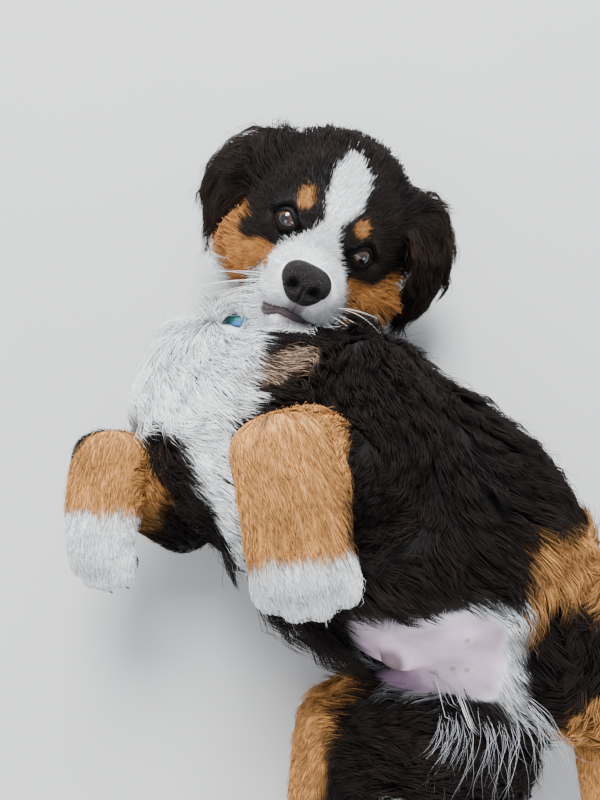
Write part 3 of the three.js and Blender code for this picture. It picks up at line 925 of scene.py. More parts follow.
def relax(values, edges, rounds, share=0.5):
    """Evens out values over a mesh. The share may differ from point to point."""
    count = np.maximum(np.bincount(edges.ravel(), minlength=len(values)), 1)
    flat = values.reshape(len(values), -1)
    share = np.asarray(share).reshape(-1, 1)
    for _ in range(rounds):
        total = np.stack([
            np.bincount(edges[:, 0], flat[edges[:, 1], k], len(flat))
            + np.bincount(edges[:, 1], flat[edges[:, 0], k], len(flat))
            for k in range(flat.shape[1])
        ], 1)
        flat = flat + share * (total / count[:, None] - flat)
    return flat.reshape(values.shape)


def unwrap(piece):
    """Lays a piece's own shape out on a UV map."""
    bpy.context.view_layer.objects.active = piece
    bpy.ops.object.select_all(action="DESELECT")
    piece.select_set(True)
    piece.data.uv_layers.new(name="OFBake")
    bpy.ops.object.mode_set(mode="EDIT")
    bpy.ops.mesh.select_all(action="SELECT")
    bpy.ops.uv.smart_project(angle_limit=math.radians(66), island_margin=0.001)
    bpy.ops.object.mode_set(mode="OBJECT")


def blob(centre, half, axes, sides=20, rings=12):
    """An ellipsoid on its own axes."""
    p, faces = ball(np.zeros(3), np.ones(3), sides, rings)
    return to_head(p) * half @ axes + centre, faces


def joined(parts):
    """Several shapes' points and faces as one."""
    points, faces, start = [], [], 0
    for p, shell in parts:
        points.append(p)
        faces += [[i + start for i in face] for face in shell]
        start += len(p)
    return np.vstack(points), faces


def rest_on_ground(p, height):
    """Lifts points that lie lower than a height over the ground."""
    p[:, 2] = np.maximum(p[:, 2], height)


# Face
def eye_frame(side):
    """An eye's centre and its axes across, up and forwards, in the head's frame."""
    forward = eye_axis(side)
    up = np.array([0.0, 0.0, 1.0])
    return eye_centre(side), np.stack([np.cross(forward, up) * side, up, forward])


LID_WIDE = 7.7
LID_TALL = 6.2


def lid_measure(a, b):
    """How far a place lies from an eye's middle, with 1 at the edge of its lids. a is to the temple."""
    tall = np.where(b > 0, LID_TALL, LID_TALL * 0.86)
    tall = tall * (1 - 0.30 * np.clip(np.abs(a) / LID_WIDE, 0, 1.3) ** 2)
    b = b - 0.10 * a - 0.5
    return np.hypot(a / LID_WIDE, b / np.maximum(tall, 0.8))


def shape_eyes(head):
    """Moves points of the head's skin into sockets behind the eyes, with a rim of lid round each."""
    for side in (1, -1):
        centre, axes = eye_frame(side)
        local = (head - centre) @ axes.T
        a, b, d = local.T
        measure = lid_measure(a, b)
        close = (np.hypot(a, b) < 24) & (d > -4)
        front = np.sqrt(np.maximum(EYE_RADIUS**2 - a * a - b * b, 0))
        rim = front + 0.9 + 0.9 * np.exp(-(((measure - 1.18) / 0.16) ** 2))
        wrap = smooth(2.3, 1.25, measure)
        fold = -0.8 * np.exp(-(((measure - 1.62) / 0.14) ** 2)) * (b > 0)
        shaped = d * (1 - wrap) + rim * wrap + fold
        shaped = np.where(measure < 1, np.minimum(front - 2.2, shaped), shaped)
        local[:, 2] = np.where(close, shaped, d)
        head = np.where(close[:, None], local @ axes + centre, head)
    return head


MOUTH = np.array([[26, 21, -57], [19.5, 31.5, -56.5], [11.5, 40, -52.8], [0, 44.5, -49.5]], float)


def mouth_line(count):
    """Points along the closed mouth, from the right corner to the left one."""
    line = np.vstack([MOUTH, MOUTH[-2::-1] * [-1, 1, 1]])
    return catmull_rom(line, np.linspace(0, 1, count), True)


def near_mouth(head):
    """How far points lie from the mouth."""
    line = mouth_line(60)
    return np.min(np.linalg.norm(head[:, None, :] - line[None], axis=2), axis=1)


SHEATH_AT = (2, -93, 136)
SHEATH_AXES = unit(np.array([[0.84, 0.52, 0.0], [-0.42, 0.70, 0.58], [0.30, -0.49, 0.82]]))
TEATS = ((25, -116), (31, -121), (15, -114), (40, -104))
LIP_TONE = (0.075, 0.042, 0.05)
SHEATH_TONE = (0.09, 0.05, 0.04)
TEAT_TONE = (0.36, 0.22, 0.20)
LID_TONE = (0.012, 0.010, 0.010)
SKIN_CLEARANCE = 0.4


def skin_parts():
    """The shells that the skin is made from."""
    for form in FORMS.values():
        yield form.shell(-form.inset)
    for centre, half in HEAD_BALLS:
        yield ball(np.array(centre), np.array(half))
    for name in PAWS:
        for at, axes, size in toe_places(name):
            yield blob(at, np.array(TOE_HALF) * size - 2.2, axes)
    yield blob(np.array(SHEATH_AT) + ORIGIN, np.array([7, 16, 9]), SHEATH_AXES)


def eyes_near(spots):
    """How far points in the head's frame lie from the nearer eye's front."""
    gaps = [spots - eye_centre(side) - eye_axis(side) * 8 for side in (1, -1)]
    return np.minimum(*(np.linalg.norm(gap, axis=1) for gap in gaps))


def finer(mesh, reach, distance):
    """Splits the edges whose ends both lie within reach, by a distance measured in the head's frame."""
    cage = bmesh.new()
    cage.from_mesh(mesh)
    near = distance(to_head(np.array([v.co for v in cage.verts]) / MM))
    cuts = [e for e in cage.edges if all(near[v.index] < reach for v in e.verts)]
    bmesh.ops.subdivide_edges(cage, edges=cuts, cuts=1, use_grid_fill=True, smooth=0.6)
    bmesh.ops.triangulate(cage, faces=[f for f in cage.faces if len(f.verts) > 4])
    cage.to_mesh(mesh)
    cage.free()


def paint_skin(mesh, p, head, gap):
    """Colours the skin, with lips, sheath, teats and lid rims, and marks where it is bare."""
    forms, ts, _ = CHART.look(p)
    folds = (is_on(forms, "thigh_left", "thigh_right", "trunk") * 1.0) * ripple(p * [1, 0.35, 1], 9, 3)
    folds += 1.6 * ripple(p * [0.45, 1, 1], 16, 9) * (is_on(forms, "trunk") & (p[:, 2] > 100))
    p = p + normals_of(mesh) * folds[:, None] * smooth(60, 90, p[:, 2])[:, None]
    put_points(mesh, p)
    colour, white, tan, bare = tones(p, forms, ts)
    cleft = smooth(9, 4, np.abs(head[:, 0])) * (head[:, 1] > 34) * smooth(-32, -36, head[:, 2])
    cleft = np.maximum(0.75 * cleft * (gap < 16), np.exp(-((head[:, 0] / 1.2) ** 2)) * (cleft > 0.5))
    lips = np.maximum(np.exp(-((gap / 4.2) ** 4)), cleft)[:, None]
    colour = tint(colour, LIP_TONE, lips)
    row = p - ORIGIN
    sheath = 0.9 * smooth(12, 6, np.linalg.norm(row - [-3, -90, 141], axis=1))
    colour = tint(colour, SHEATH_TONE, sheath[:, None])
    bare = bare * (1 - sheath)
    for x, y in TEATS:
        teat = smooth(3.4, 1.2, np.hypot(row[:, 0] - x, row[:, 1] - y)) * (row[:, 2] > 100)
        bare = bare * (1 - 0.75 * teat)
        colour = tint(colour, TEAT_TONE, teat[:, None])
    for side in (1, -1):
        centre, axes = eye_frame(side)
        local = (to_head(p) - centre) @ axes.T
        ring = smooth(1.65, 1.3, lid_measure(local[:, 0], local[:, 1])) * (local[:, 2] > 0)
        ring = ring * (np.hypot(local[:, 0], local[:, 1]) < 16)
        colour = tint(colour, LID_TONE, ring[:, None])
    dark = 1 - np.maximum(np.maximum(white, tan), np.minimum(bare, 1))
    paint(mesh, "tone", colour * (1 - 0.6 * dark)[:, None])
    paint(mesh, "bare", bare)


def make_skin():
    """One skin over all the forms of flesh, with eye sockets, a mouth and a crease down the brow."""
    rough = show(new_mesh("rough", *joined(skin_parts())), "rough")
    remesh = rough.modifiers.new("One surface", "REMESH")
    remesh.mode = "VOXEL"
    remesh.voxel_size = settings().voxel
    skin = flattened(rough, "skin")
    mesh = skin.data

    p, edges = points_of(mesh), edges_of(mesh)
    head = to_head(p)
    face = smooth(-14, 6, head[:, 1]) * smooth(70, 55, np.linalg.norm(head - [0, 20, -10], axis=1))
    forms = CHART.look(p, 1)[0]
    feet = is_on(forms, "toes", "paw_left", "paw_right", "hindpaw_left", "hindpaw_right").astype(float)
    p = relax(p, edges, 14, 0.5 * (1 - 0.72 * np.maximum(face, feet)))
    put_points(mesh, p)

    # The face has finer faces than the body, and the lids finer ones again.
    finer(mesh, 46, lambda spots: np.linalg.norm(spots - [0, 22, -12], axis=1))
    finer(mesh, 15, eyes_near)

    p = points_of(mesh)
    head = shape_eyes(to_head(p))
    x, y, z = head.T
    crease = np.exp(-((x / 2.2) ** 2)) * smooth(20, 60, z) * (y > -30)
    head[:, 1] -= 0.8 * crease
    gap = near_mouth(head)
    head = head - unit(head - [0, 10, -40]) * (2.0 * np.exp(-((gap / 2.2) ** 2)))[:, None]
    p = from_head(head)
    rest_on_ground(p, SKIN_CLEARANCE)
    put_points(mesh, p)
    paint_skin(mesh, p, head, gap)
    unwrap(skin)
    mesh.materials.clear()
    mesh.materials.append(skin_finish())
    mesh.shade_smooth()
    return skin


# Coat: each region's tufts, as spacing, length, width, rise, size of clumps and pull into clumps
FUR = {
    "face": (1.10, 7, 0.45, 0.9, 4, 0.15),
    "skull": (1.30, 12, 0.50, 2.0, 5, 0.2),
    "chin": (1.10, 19, 0.50, 4.0, 5, 0.2),
    "jowl": (1.30, 12, 0.50, 1.3, 5, 0.2),
    "cheek": (1.35, 18, 0.55, 3.2, 7, 0.3),
    "fluff": (1.45, 31, 0.60, 9.0, 8, 0.4),
    "crown": (1.40, 19, 0.50, 5.5, 7, 0.3),
    "dewlap": (1.40, 40, 0.60, 15, 9, 0.35),
    "breech": (1.60, 32, 0.60, 9, 9, 0.4),
    "side": (1.20, 33, 0.58, 8.0, 7, 0.3),
    "groin": (1.40, 13, 0.55, 3.0, 6, 0.3),
    "flank": (1.70, 36, 0.75, 14, 9, 0.35),
    "ear": (1.45, 26, 0.60, 4.5, 8, 0.4),
    "throat": (1.45, 20, 0.78, 2.2, 7, 0.2),
    "ruff": (1.50, 30, 0.80, 3.6, 9, 0.15),
    "trunk": (1.75, 27, 0.75, 6.5, 9, 0.45),
    "upper": (1.65, 22, 0.70, 4.0, 8, 0.4),
    "leg": (1.45, 15, 0.58, 2.4, 5.0, 0.5),
    "foot": (1.65, 13, 0.58, 1.5, 5, 0.2),
    "toe": (1.50, 15, 0.50, 1.8, 4, 0.2),
    "thigh": (1.75, 27, 0.75, 5.5, 9, 0.42),
    "tail": (1.80, 34, 0.80, 6.0, 9, 0.4),
}


def fur_at(p, forms, ts):
    """The kind of coat at each point."""
    table = np.zeros((len(p), 6))

    def give(kind, where):
        table[where] = FUR[kind]

    head = to_head(p)
    give("trunk", is_on(forms, "trunk"))
    bib = (markings(p, forms, ts)[0] > 0.5) & (p[:, 1] - ORIGIN[1] > -20)
    give("ruff", is_on(forms, "trunk") & ((ts < 0.22) | bib))
    give("fluff", is_on(forms, "neck"))
    throat = np.linalg.norm(p - from_head([-4, 20, -92]), axis=1) < 46
    give("throat", is_on(forms, "trunk", "neck") & throat)
    give("skull", is_on(forms, "skull"))
    give("face", is_on(forms, "muzzle", "jaw") | (is_on(forms, "skull", "cheek") & (head[:, 1] > 2)))
    give("chin", is_on(forms, "jaw") & (head[:, 1] > 6) & (head[:, 2] < -58))
    give("cheek", is_on(forms, "cheek") & (head[:, 1] <= 4))
    give("cheek", is_on(forms, "skull", "jaw") & (head[:, 2] < -26) & (head[:, 1] < 4))
    face = is_on(forms, "skull", "cheek", "jaw")
    sides = face & (np.abs(head[:, 0]) > 40) & (head[:, 1] < -14)
    under = face & (head[:, 2] < -46) & (head[:, 1] < 6)
    give("fluff", sides | (under & (np.abs(head[:, 0]) > 18)))
    give("jowl", under & (head[:, 0] > 14) & (head[:, 0] < 50) & (head[:, 1] > -20))
    give("jowl", sides & (head[:, 0] > 0) & (head[:, 2] > -46) & (head[:, 2] < 4))
    give("dewlap", sides & (head[:, 0] < -48) & (head[:, 2] < 22))
    edge = face & (head[:, 0] < -54) & (head[:, 1] > -16) & (head[:, 1] < 6)
    give("side", edge & (head[:, 2] < 4))
    crown = (head[:, 1] < -14) & (np.abs(head[:, 0]) < 46) & (head[:, 2] > 20)
    give("crown", is_on(forms, "skull") & crown)
    row = p - ORIGIN
    gap = np.linalg.norm(row - [62, 152, 84], axis=1) < 34
    give("dewlap", is_on(forms, "neck", "skull", "cheek", "trunk") & gap & (head[:, 1] < 20))
    crotch = (row[:, 1] < -150) & (row[:, 0] > 10) & (row[:, 0] < 80) & (row[:, 2] > 40)
    give("breech", is_on(forms, "thigh_left", "thigh_right", "trunk") & crotch)
    edge = (row[:, 0] < -18) & (row[:, 1] > -100) & (row[:, 1] < 10)
    give("flank", is_on(forms, "trunk") & edge & (row[:, 2] > 50) & (row[:, 2] < 135))
    pale = (inside(row[:, :2], GROIN, 2) > 0.5) & (row[:, 2] > 90)
    give("groin", is_on(forms, "thigh_left", "trunk") & pale)
    give("ear", is_on(forms, "ear_left", "ear_right"))
    table[is_on(forms, "ear_right") & (ts > 0.6), 1] = 36
    give("upper", is_on(forms, "upper_left", "upper_right"))
    give("leg", is_on(forms, "lower_left", "lower_right", "shank_left", "shank_right"))
    give("foot", is_on(forms, "paw_left", "paw_right", "hindpaw_left", "hindpaw_right"))
    give("toe", is_on(forms, "toes"))
    give("thigh", is_on(forms, "thigh_left", "thigh_right"))
    give("tail", is_on(forms, "tail"))
    return table


def spots_without_fur(p, forms):
    """Where no coat grows: eyes, nose, lips and the soles' pads."""
    head = to_head(p)
    none = np.zeros(len(p), bool)
    for side in (1, -1):
        centre, axes = eye_frame(side)
        a, b, d = ((head - centre) @ axes.T).T
        none |= (lid_measure(a, b) < 1.2) & (d > 0) & (np.hypot(a, b) < 15)
    none |= (np.abs(head[:, 0]) < 6.5) & (head[:, 1] > 36) & (head[:, 2] < -34) & (head[:, 2] > -50)
    nose = (head - NOSE_AT) / (np.array(NOSE_HALF) + [1.0, 1.5, 1.0])
    none |= np.linalg.norm(nose, axis=1) < 1
    near_face = (head[:, 1] > 0) & (head[:, 2] < -38)
    none[near_face] |= near_mouth(head[near_face]) < 3.4
    for name, pads in sole_pads().items():
        for centre, half, axes in pads:
            none |= np.linalg.norm((p - centre) @ axes.T / (half + 0.8), axis=1) < 1
    return none


def sole_pads():
    """The pads under each paw, as centre, half sizes and axes."""
    found = {}
    for name in PAWS:
        toes = toe_places(name)
        axes, size = toes[0][1], toes[0][2]
        middle = sum(at for at, _, _ in toes) / 4
        small = np.array([4.8, 6.5, 3.8]) * size
        pads = [(at + np.array([0, -1, -8]) * size @ axes, small, axes) for at, _, _ in toes]
        pads.append((middle + np.array([0, -17, -13]) * size @ axes, np.array([12, 9, 6]) * size, axes))
        found[name] = pads
    return found


def group_of(name):
    """Head, trunk with thighs, ears or limbs. A tuft takes no colour from another group."""
    if name in ("jaw", "skull", "muzzle", "cheek"):
        return 0
    if name in ("neck", "trunk", "thigh_left", "thigh_right"):
        return 1
    return 2 if name.startswith("ear") else 3


GROUPS = np.array([group_of(name) for name in LABELS])
MOST_TUFTS = 18000
LONG_TUFT = 33
# The coat parts over the place where the collar shows, along a line to the camera.
SCRAP = (58, 156, 85)
PARTING = np.array([-0.117, -0.316, 0.941])
STEPS = (0.30, 0.34, 0.36)
HEIGHTS = (0.55, 0.95, 0.85)


class Growth:
    """The coat's roots on the skin and the way each tuft runs."""

    def __init__(self, skin):
        look = settings()
        random = np.random.default_rng(look.seed)
        self.random = random
        mesh = skin.data
        mesh.calc_loop_triangles()
        count = len(mesh.loop_triangles)
        tri, loops = np.empty(count * 3, np.int64), np.empty(count * 3, np.int64)
        mesh.loop_triangles.foreach_get("vertices", tri)
        mesh.loop_triangles.foreach_get("loops", loops)
        tri, loops = tri.reshape(-1, 3), loops.reshape(-1, 3)
        uv = np.empty(len(mesh.loops) * 2)
        mesh.uv_layers["OFBake"].data.foreach_get("uv", uv)
        uv = uv.reshape(-1, 2)
        p, n, edges = points_of(mesh), normals_of(mesh), edges_of(mesh)
        forms, ts, lies = CHART.look(p)
        bare = np.empty(len(p), np.float32)
        mesh.attributes["bare"].data.foreach_get("value", bare)
        fur = relax(fur_at(p, forms, ts), edges, 5)
        lies = unit(relax(lies, edges, 6))

        a, b, c = p[tri[:, 0]], p[tri[:, 1]], p[tri[:, 2]]
        area = np.linalg.norm(np.cross(b - a, c - a), axis=1) / 2
        spacing = fur[tri].mean(1)[:, 0]
        hair = 1 - smooth(0.25, 0.75, bare[tri].mean(1)) * 0.985
        middle = p[tri].mean(1)
        under = smooth(-0.3, -0.8, n[tri].mean(1)[:, 2]) * smooth(40, 20, middle[:, 2])
        under *= smooth(90, 70, middle[:, 1] - ORIGIN[1])
        wanted = area / spacing**2 * look.fullness * hair * (1 - 0.6 * under)
        number = np.floor(wanted + random.random(count)).astype(int)
        pick = np.repeat(np.arange(count), number)
        share = random.dirichlet([1, 1, 1], len(pick))
        corner = tri[pick]
        main = corner[np.arange(len(pick)), share.argmax(1)]

        def blend(values):
            return np.einsum("ij,ijk->ik", share, values[corner])

        self.root, self.normal, self.lie = blend(p), unit(blend(n)), unit(blend(lies))
        self.fur, self.forms, self.ts = blend(fur), forms[main], ts[main]
        self.uv = np.einsum("ij,ijk->ik", share, uv[loops[pick]])
        clear = ~spots_without_fur(self.root, self.forms) & (self.root[:, 2] > 0.8)
        self.keep(clear)
        self.tree = BVHTree.FromPolygons([Vector(v) for v in p], tri.tolist())
        self.run()

    def keep(self, where):
        for name in ("root", "normal", "lie", "fur", "forms", "ts", "uv"):
            setattr(self, name, getattr(self, name)[where])

    def own_form(self, p):
        """The form and place at points, kept to the part of the body that a tuft is rooted on."""
        forms, ts, _ = CHART.look(p, 1)
        same = GROUPS[forms] == GROUPS[self.forms]
        return np.where(same, forms, self.forms), np.where(same, ts, self.ts)

    def run(self):
        """Follows the skin from each root along the lie, then draws neighbours together into locks."""
        random, count = self.random, len(self.root)
        length = self.fur[:, 1] * (0.78 + 0.44 * random.random(count))
        length *= 1 + 0.15 * ripple(self.root, 40, 11)
        long_hair = smooth(14, 24, self.fur[:, 1])
        swirl = long_hair * (0.42 * ripple(self.root, 26, 12) + 0.25 * ripple(self.root, 11, 13))
        swirl += 0.16 * ripple(self.root, 18, 14) + random.normal(0, 0.10, count)
        arm = is_on(self.forms, "lower_left", "lower_right", "shank_left", "shank_right")
        swirl += arm * 0.5 * ripple(self.root * [1, 1, 0.5], 13, 16)
        fore = self.root - ORIGIN - [40, 14, 178]
        sweep = (0.1 + 1.0 * smooth(-30, 26, fore @ np.array([0.79, -0.62, 0])))
        sweep = sweep * smooth(72, 40, (fore + [17, -30, -34]) @ np.array([-0.49, -0.87, 0]))
        swirl += is_on(self.forms, "lower_left", "paw_left") * sweep * (self.root[:, 2] > 170)
        side = np.cross(self.normal, self.lie)
        way = unit(self.lie * np.cos(swirl)[:, None] + side * np.sin(swirl)[:, None])
        rise = self.fur[:, 3] * (0.8 + 0.4 * random.random(count))
        rise *= 1 + 0.25 * ripple(self.root, 16, 15) * long_hair
        stray = random.random(count) < 0.07
        rise = np.where(stray, rise * 1.7 + 1, rise)
        self.fur[stray, 2] *= 0.6
        place, normal = self.root.copy(), self.normal.copy()
        chain, ups = [self.root - self.normal * 1.2], [self.normal]
        for step, height in zip(STEPS, HEIGHTS):
            way = unit(way - normal * np.sum(way * normal, axis=1, keepdims=True))
            ahead = place + way * (length * step)[:, None]
            hits = [self.tree.find_nearest(Vector(q)) for q in ahead]
            place = np.array([hit[0] for hit in hits])
            found = np.array([hit[1] for hit in hits])
            found *= np.sign(np.sum(found * normal, axis=1, keepdims=True)) + 0.0
            normal = unit(0.4 * normal + 0.6 * found)
            chain.append(place + normal * (rise * height)[:, None])
            ups.append(normal)
        self.chain, self.ups, self.length = np.stack(chain, 1), np.stack(ups, 1), length

        size = self.fur[:, 4]
        leads = np.flatnonzero(random.random(count) < (self.fur[:, 0] / size) ** 2)
        tree = KDTree(len(leads))
        for i, lead in enumerate(leads):
            tree.insert(self.root[lead], i)
        tree.balance()
        near = [tree.find(q) for q in self.root]
        lead = leads[[hit[1] for hit in near]]
        far = np.array([hit[2] for hit in near])
        same = np.sum(self.normal * self.normal[lead], axis=1) > 0.3
        pull = self.fur[:, 5] * same * (far < 1.6 * size)
        self.lead, self.lock_tone = lead, random.normal(0, 1, count)
        lift = 1 + 0.35 * random.normal(0, 1, count)[lead] * long_hair
        curl = random.normal(0, 1, (count, 1))[lead] * long_hair[:, None]
        for j, grip in ((1, 0.25), (2, 0.8), (3, 1.25)):
            share = np.clip(pull * grip, 0, 0.8)[:, None]
            moved = self.chain[:, j] * (1 - share) + self.chain[lead, j] * share
            base = moved - self.ups[:, j] * (rise * HEIGHTS[j - 1])[:, None]
            moved = base + self.ups[:, j] * np.clip(rise * HEIGHTS[j - 1] * lift, 0.3, None)[:, None]
            bend = np.cross(self.ups[:, j], unit(self.chain[:, j] - self.chain[:, j - 1]))
            wave = (0.0, 0.055, -0.075)[j - 1] * length[:, None] * curl
            self.chain[:, j] = moved + bend * wave
        # A tuft that leaps or turns sharply where forms meet goes straight on instead.
        for j, step in ((2, STEPS[1]), (3, STEPS[2])):
            before = self.chain[:, j - 1] - (self.root if j == 2 else self.chain[:, j - 2])
            before -= 0.7 * self.ups[:, j - 1] * np.sum(before * self.ups[:, j - 1], axis=1, keepdims=True)
            move = self.chain[:, j] - self.chain[:, j - 1]
            span = np.linalg.norm(move, axis=1)
            ahead = np.sum(unit(move) * unit(before), axis=1)
            bad = (span > 1.6 * step * length + 1) | (ahead < 0.62)
            straight = self.chain[:, j - 1] + unit(before) * (step * 0.8 * length)[:, None]
            self.chain[:, j] = np.where(bad[:, None], straight, self.chain[:, j])
        self.chain[:, 1:, 2] = np.maximum(self.chain[:, 1:, 2], 0.5)
        self.middle = 0.5 * (self.chain[:, 1] + self.chain[:, 2])
        self.mid_forms, self.mid_ts = self.own_form(self.middle)
        blur = 0.5 + 1.3 * long_hair + 0.8 * on_face(self.forms)
        self.middle = self.middle + random.normal(0, 1, (count, 3)) * blur[:, None]
        mid_bare = markings(self.middle, self.mid_forms, self.mid_ts)[2]
        tip_bare = markings(self.chain[:, 3], *self.own_form(self.chain[:, 3]))[2]
        share = 1 - smooth(0.15, 0.85, np.maximum(mid_bare, tip_bare * 0.9))
        between = (self.chain[:, :-1] + self.chain[:, 1:]) / 2
        samples = np.concatenate([self.chain, between], 1) - SCRAP - ORIGIN
        above = np.clip(samples @ PARTING, 0, 50)[..., None]
        parted = np.min(np.linalg.norm(samples - above * PARTING, axis=2), axis=1) < 6.5
        first, last = self.chain[:, 2] - self.chain[:, 0], self.chain[:, 3] - self.chain[:, 2]
        bent = np.sum(unit(first) * unit(last), axis=1) < 0.45
        bent |= np.linalg.norm(first, axis=1) > 0.85 * length + 4
        self.grown = (random.random(count) < share) & ~parted & ~bent

    def batch(self, index, rings):
        """Points, colours, faces and UV places of closed tapered tufts, with a ring at each named step.
        Each tuft's colour is darker towards its root, as painted shade.
        """
        look = settings()
        colour, white, tan, _ = tones(self.middle[index], self.mid_forms[index], self.mid_ts[index])
        count = len(index)
        width = self.fur[index, 2] * (0.8 + 0.4 * self.random.random(count))
        lock = self.lock_tone[self.lead[index]][:, None]
        vary = 0.13 * self.random.normal(0, 1, (count, 1)) + 0.14 * lock
        vary = np.clip(1 + vary * (1 - 0.7 * white[:, None]), 0.6, 1.4)
        dark = (1 - np.maximum(white, tan))[:, None]
        tip = np.clip(colour * vary + dark * np.array(look.brown) * 0.2, 0, 0.95)
        # Painted shade: the root end is darker, as if the tufts shaded each other near the skin; white
        # tufts are not darkened.
        root = colour * np.clip(vary, 0.8, 1.1) * (0.66 + 0.34 * white[:, None])
        chain, ups = self.chain[index], self.ups[index]
        along = unit(chain[:, 3] - chain[:, 1])
        points, paints = [], []
        for j in rings:
            # Each ring blends from the painted-shade root colour towards the tip colour.
            wide, shade = (0.8, 1.0, 0.8)[j], (0.0, 0.45, 0.75)[j]
            across = unit(np.cross(ups[:, j], along))
            w = (width * wide / 2)[:, None]
            at = chain[:, j]
            points += [at - across * w, at + across * w, at + ups[:, j] * w * 0.9]
            paints += [root * (1 - shade) + tip * shade] * 3
        points.append(chain[:, 3])
        paints.append(tip)
        each, last = len(points), 3 * len(rings) - 3
        one = [[0, 2, 1]]
        for r in range(0, last, 3):
            for s in range(3):
                a, b = r + s, r + (s + 1) % 3
                one += [[a, b, b + 3], [a, b + 3, a + 3]]
        one += [[last + s, last + (s + 1) % 3, last + 3] for s in range(3)]
        faces = (np.array(one)[None] + np.arange(count)[:, None, None] * each).reshape(-1, 3)
        spread = [[x, y] for y in np.linspace(-1, 1, len(rings)) for x in (-1, 1, 0)] + [[0, 1.4]]
        uv = (self.uv[index][:, None] + np.array(spread)[None] * 0.001).reshape(-1, 2)
        return np.stack(points, 1).reshape(-1, 3), np.stack(paints, 1).reshape(-1, 3), faces, uv

    def tufts(self, index, name, finish):
        """One piece of the coat from chosen roots. The longest tufts have one more ring than the others."""
        curled = self.length[index] > LONG_TUFT
        lots = [self.batch(index[~curled], [0, 2]), self.batch(index[curled], [0, 1, 2])]
        p, tone, uv = (np.vstack([lot[k] for lot in lots]) for k in (0, 1, 3))
        faces = np.vstack([lots[0][2], lots[1][2] + len(lots[0][0])])
        rest_on_ground(p, 0.3)
        mesh = bpy.data.meshes.new(name)
        mesh.vertices.add(len(p))
        mesh.vertices.foreach_set("co", (p * MM).astype(np.float32).ravel())
        mesh.loops.add(len(faces) * 3)
        mesh.loops.foreach_set("vertex_index", faces.astype(np.int32).ravel())
        mesh.polygons.add(len(faces))
        mesh.polygons.foreach_set("loop_start", np.arange(0, len(faces) * 3, 3, dtype=np.int32))
        mesh.update(calc_edges=True)
        layer = mesh.uv_layers.new(name="OFBake")
        layer.data.foreach_set("uv", uv[faces.ravel()].astype(np.float32).ravel())
        paint(mesh, "tone", tone)
        mesh.materials.append(finish)
        print(f"{name}: {len(index)} tufts, {len(faces)} triangles")
        settle(show(mesh, name), "coat_black")


def coat_parts(forms, root):
    """Which roots belong to each piece of the coat."""
    head = on_face(forms)
    front_face = head & (to_head(root)[:, 1] > 0)
    trunk = is_on(forms, "trunk", "neck")
    row = root - ORIGIN
    parts = {
        "coat_face": front_face,
        "coat_head": head & ~front_face,
        "coat_ears": is_on(forms, "ear_left", "ear_right"),
        "coat_forelegs": is_on(forms, "upper_left", "upper_right", "lower_left", "lower_right"),
        "coat_hindlegs": is_on(forms, "thigh_left", "thigh_right", "shank_left", "shank_right"),
        "coat_feet": is_on(forms, "paw_left", "paw_right", "hindpaw_left", "hindpaw_right", "toes"),
        "coat_tail": is_on(forms, "tail"),
    }
    sides = {"left": row[:, 0] > 40, "right": row[:, 0] <= 40}
    lengths = {
        "chest": row[:, 1] > 60,
        "middle": (row[:, 1] <= 60) & (row[:, 1] > -50),
        "rear": row[:, 1] <= -50,
    }
    for side, by_side in sides.items():
        for stretch, by_length in lengths.items():
            parts[f"coat_{stretch}_{side}"] = trunk & by_side & by_length
    return parts


def make_coat(skin):
    """All the coat's pieces. A region with too many tufts for one piece is halved along its length."""
    growth = Growth(skin)
    finish = coat_finish()
    root = growth.root
    for name, where in coat_parts(growth.forms, root).items():
        shares = [np.flatnonzero(where & growth.grown)]
        while max(len(share) for share in shares) > MOST_TUFTS:
            halves = []
            for share in shares:
                order = share[np.argsort(root[share, np.ptp(root[share], axis=0).argmax()])]
                halves += [order[: len(order) // 2], order[len(order) // 2 :]]
            shares = halves
        for k, share in enumerate(shares):
            growth.tufts(share, name if len(shares) == 1 else f"{name}_{k + 1}", finish)


def make_eyes():
    """Eyeballs with a dark brown iris, a wide pupil and a bulging cornea."""
    for side, name in ((1, "right"), (-1, "left")):
        centre, axes = eye_frame(side)
        points, faces = blob(np.zeros(3), np.ones(3), np.eye(3), 72, 48)
        local = unit(points)
        local = local[:, [0, 2, 1]] * [1, -1, 1]
        angle = np.degrees(np.arccos(np.clip(local[:, 2], -1, 1)))
        radius = EYE_RADIUS + 0.75 * smooth(40, 8, angle)
        p = from_head(local * radius[:, None] @ axes + centre)
        iris = smooth(50, 45, angle)[:, None]
        pupil = smooth(25, 20, angle)[:, None]
        ring = 0.25 + 0.75 * smooth(50, 34, angle)[:, None]
        spokes = 1 + 0.25 * ripple(unit(local * [1, 1, 0] + 1e-6) * 40, 3, 4)[:, None]
        white = np.array([0.30, 0.24, 0.22])
        brown = np.array([0.060, 0.026, 0.011]) * ring * spokes
        tone = tint(tint(white, brown, iris), [0.003, 0.003, 0.004], pupil)
        mesh = new_mesh(f"eyeball_{name}", p, faces, eye_finish())
        paint(mesh, "tone", np.clip(tone, 0, 1))
        settle(show(mesh, f"eyeball_{name}"), "eye", f"eye_{name}")


def tube(line, radii, sides, closed, up):
    """A round bar along points, with its own radius at each, closed in a ring or flat at its ends."""
    line, count = np.asarray(line, float), len(line)
    if closed:
        way = unit(np.roll(line, -1, 0) - np.roll(line, 1, 0))
    else:
        way = unit(np.gradient(line, axis=0))
    across = unit(np.cross(way, up))
    rise = np.cross(across, way)
    radii = np.asarray(radii, float).reshape(count, -1)
    wide, tall = radii[:, :1], radii[:, -1:]
    around = np.linspace(0, 2 * np.pi, sides, endpoint=False)
    rails = [line + across * np.cos(a) * wide + rise * np.sin(a) * tall for a in around]
    p = np.stack(rails, 1).reshape(-1, 3)
    faces = []
    for r in range(count if closed else count - 1):
        for s in range(sides):
            a, b = r * sides + s, r * sides + (s + 1) % sides
            c, d = (r + 1) % count * sides + (s + 1) % sides, (r + 1) % count * sides + s
            faces.append([a, b, c, d])
    if not closed:
        faces += [list(range(sides))[::-1], [(count - 1) * sides + s for s in range(sides)]]
    return p, faces


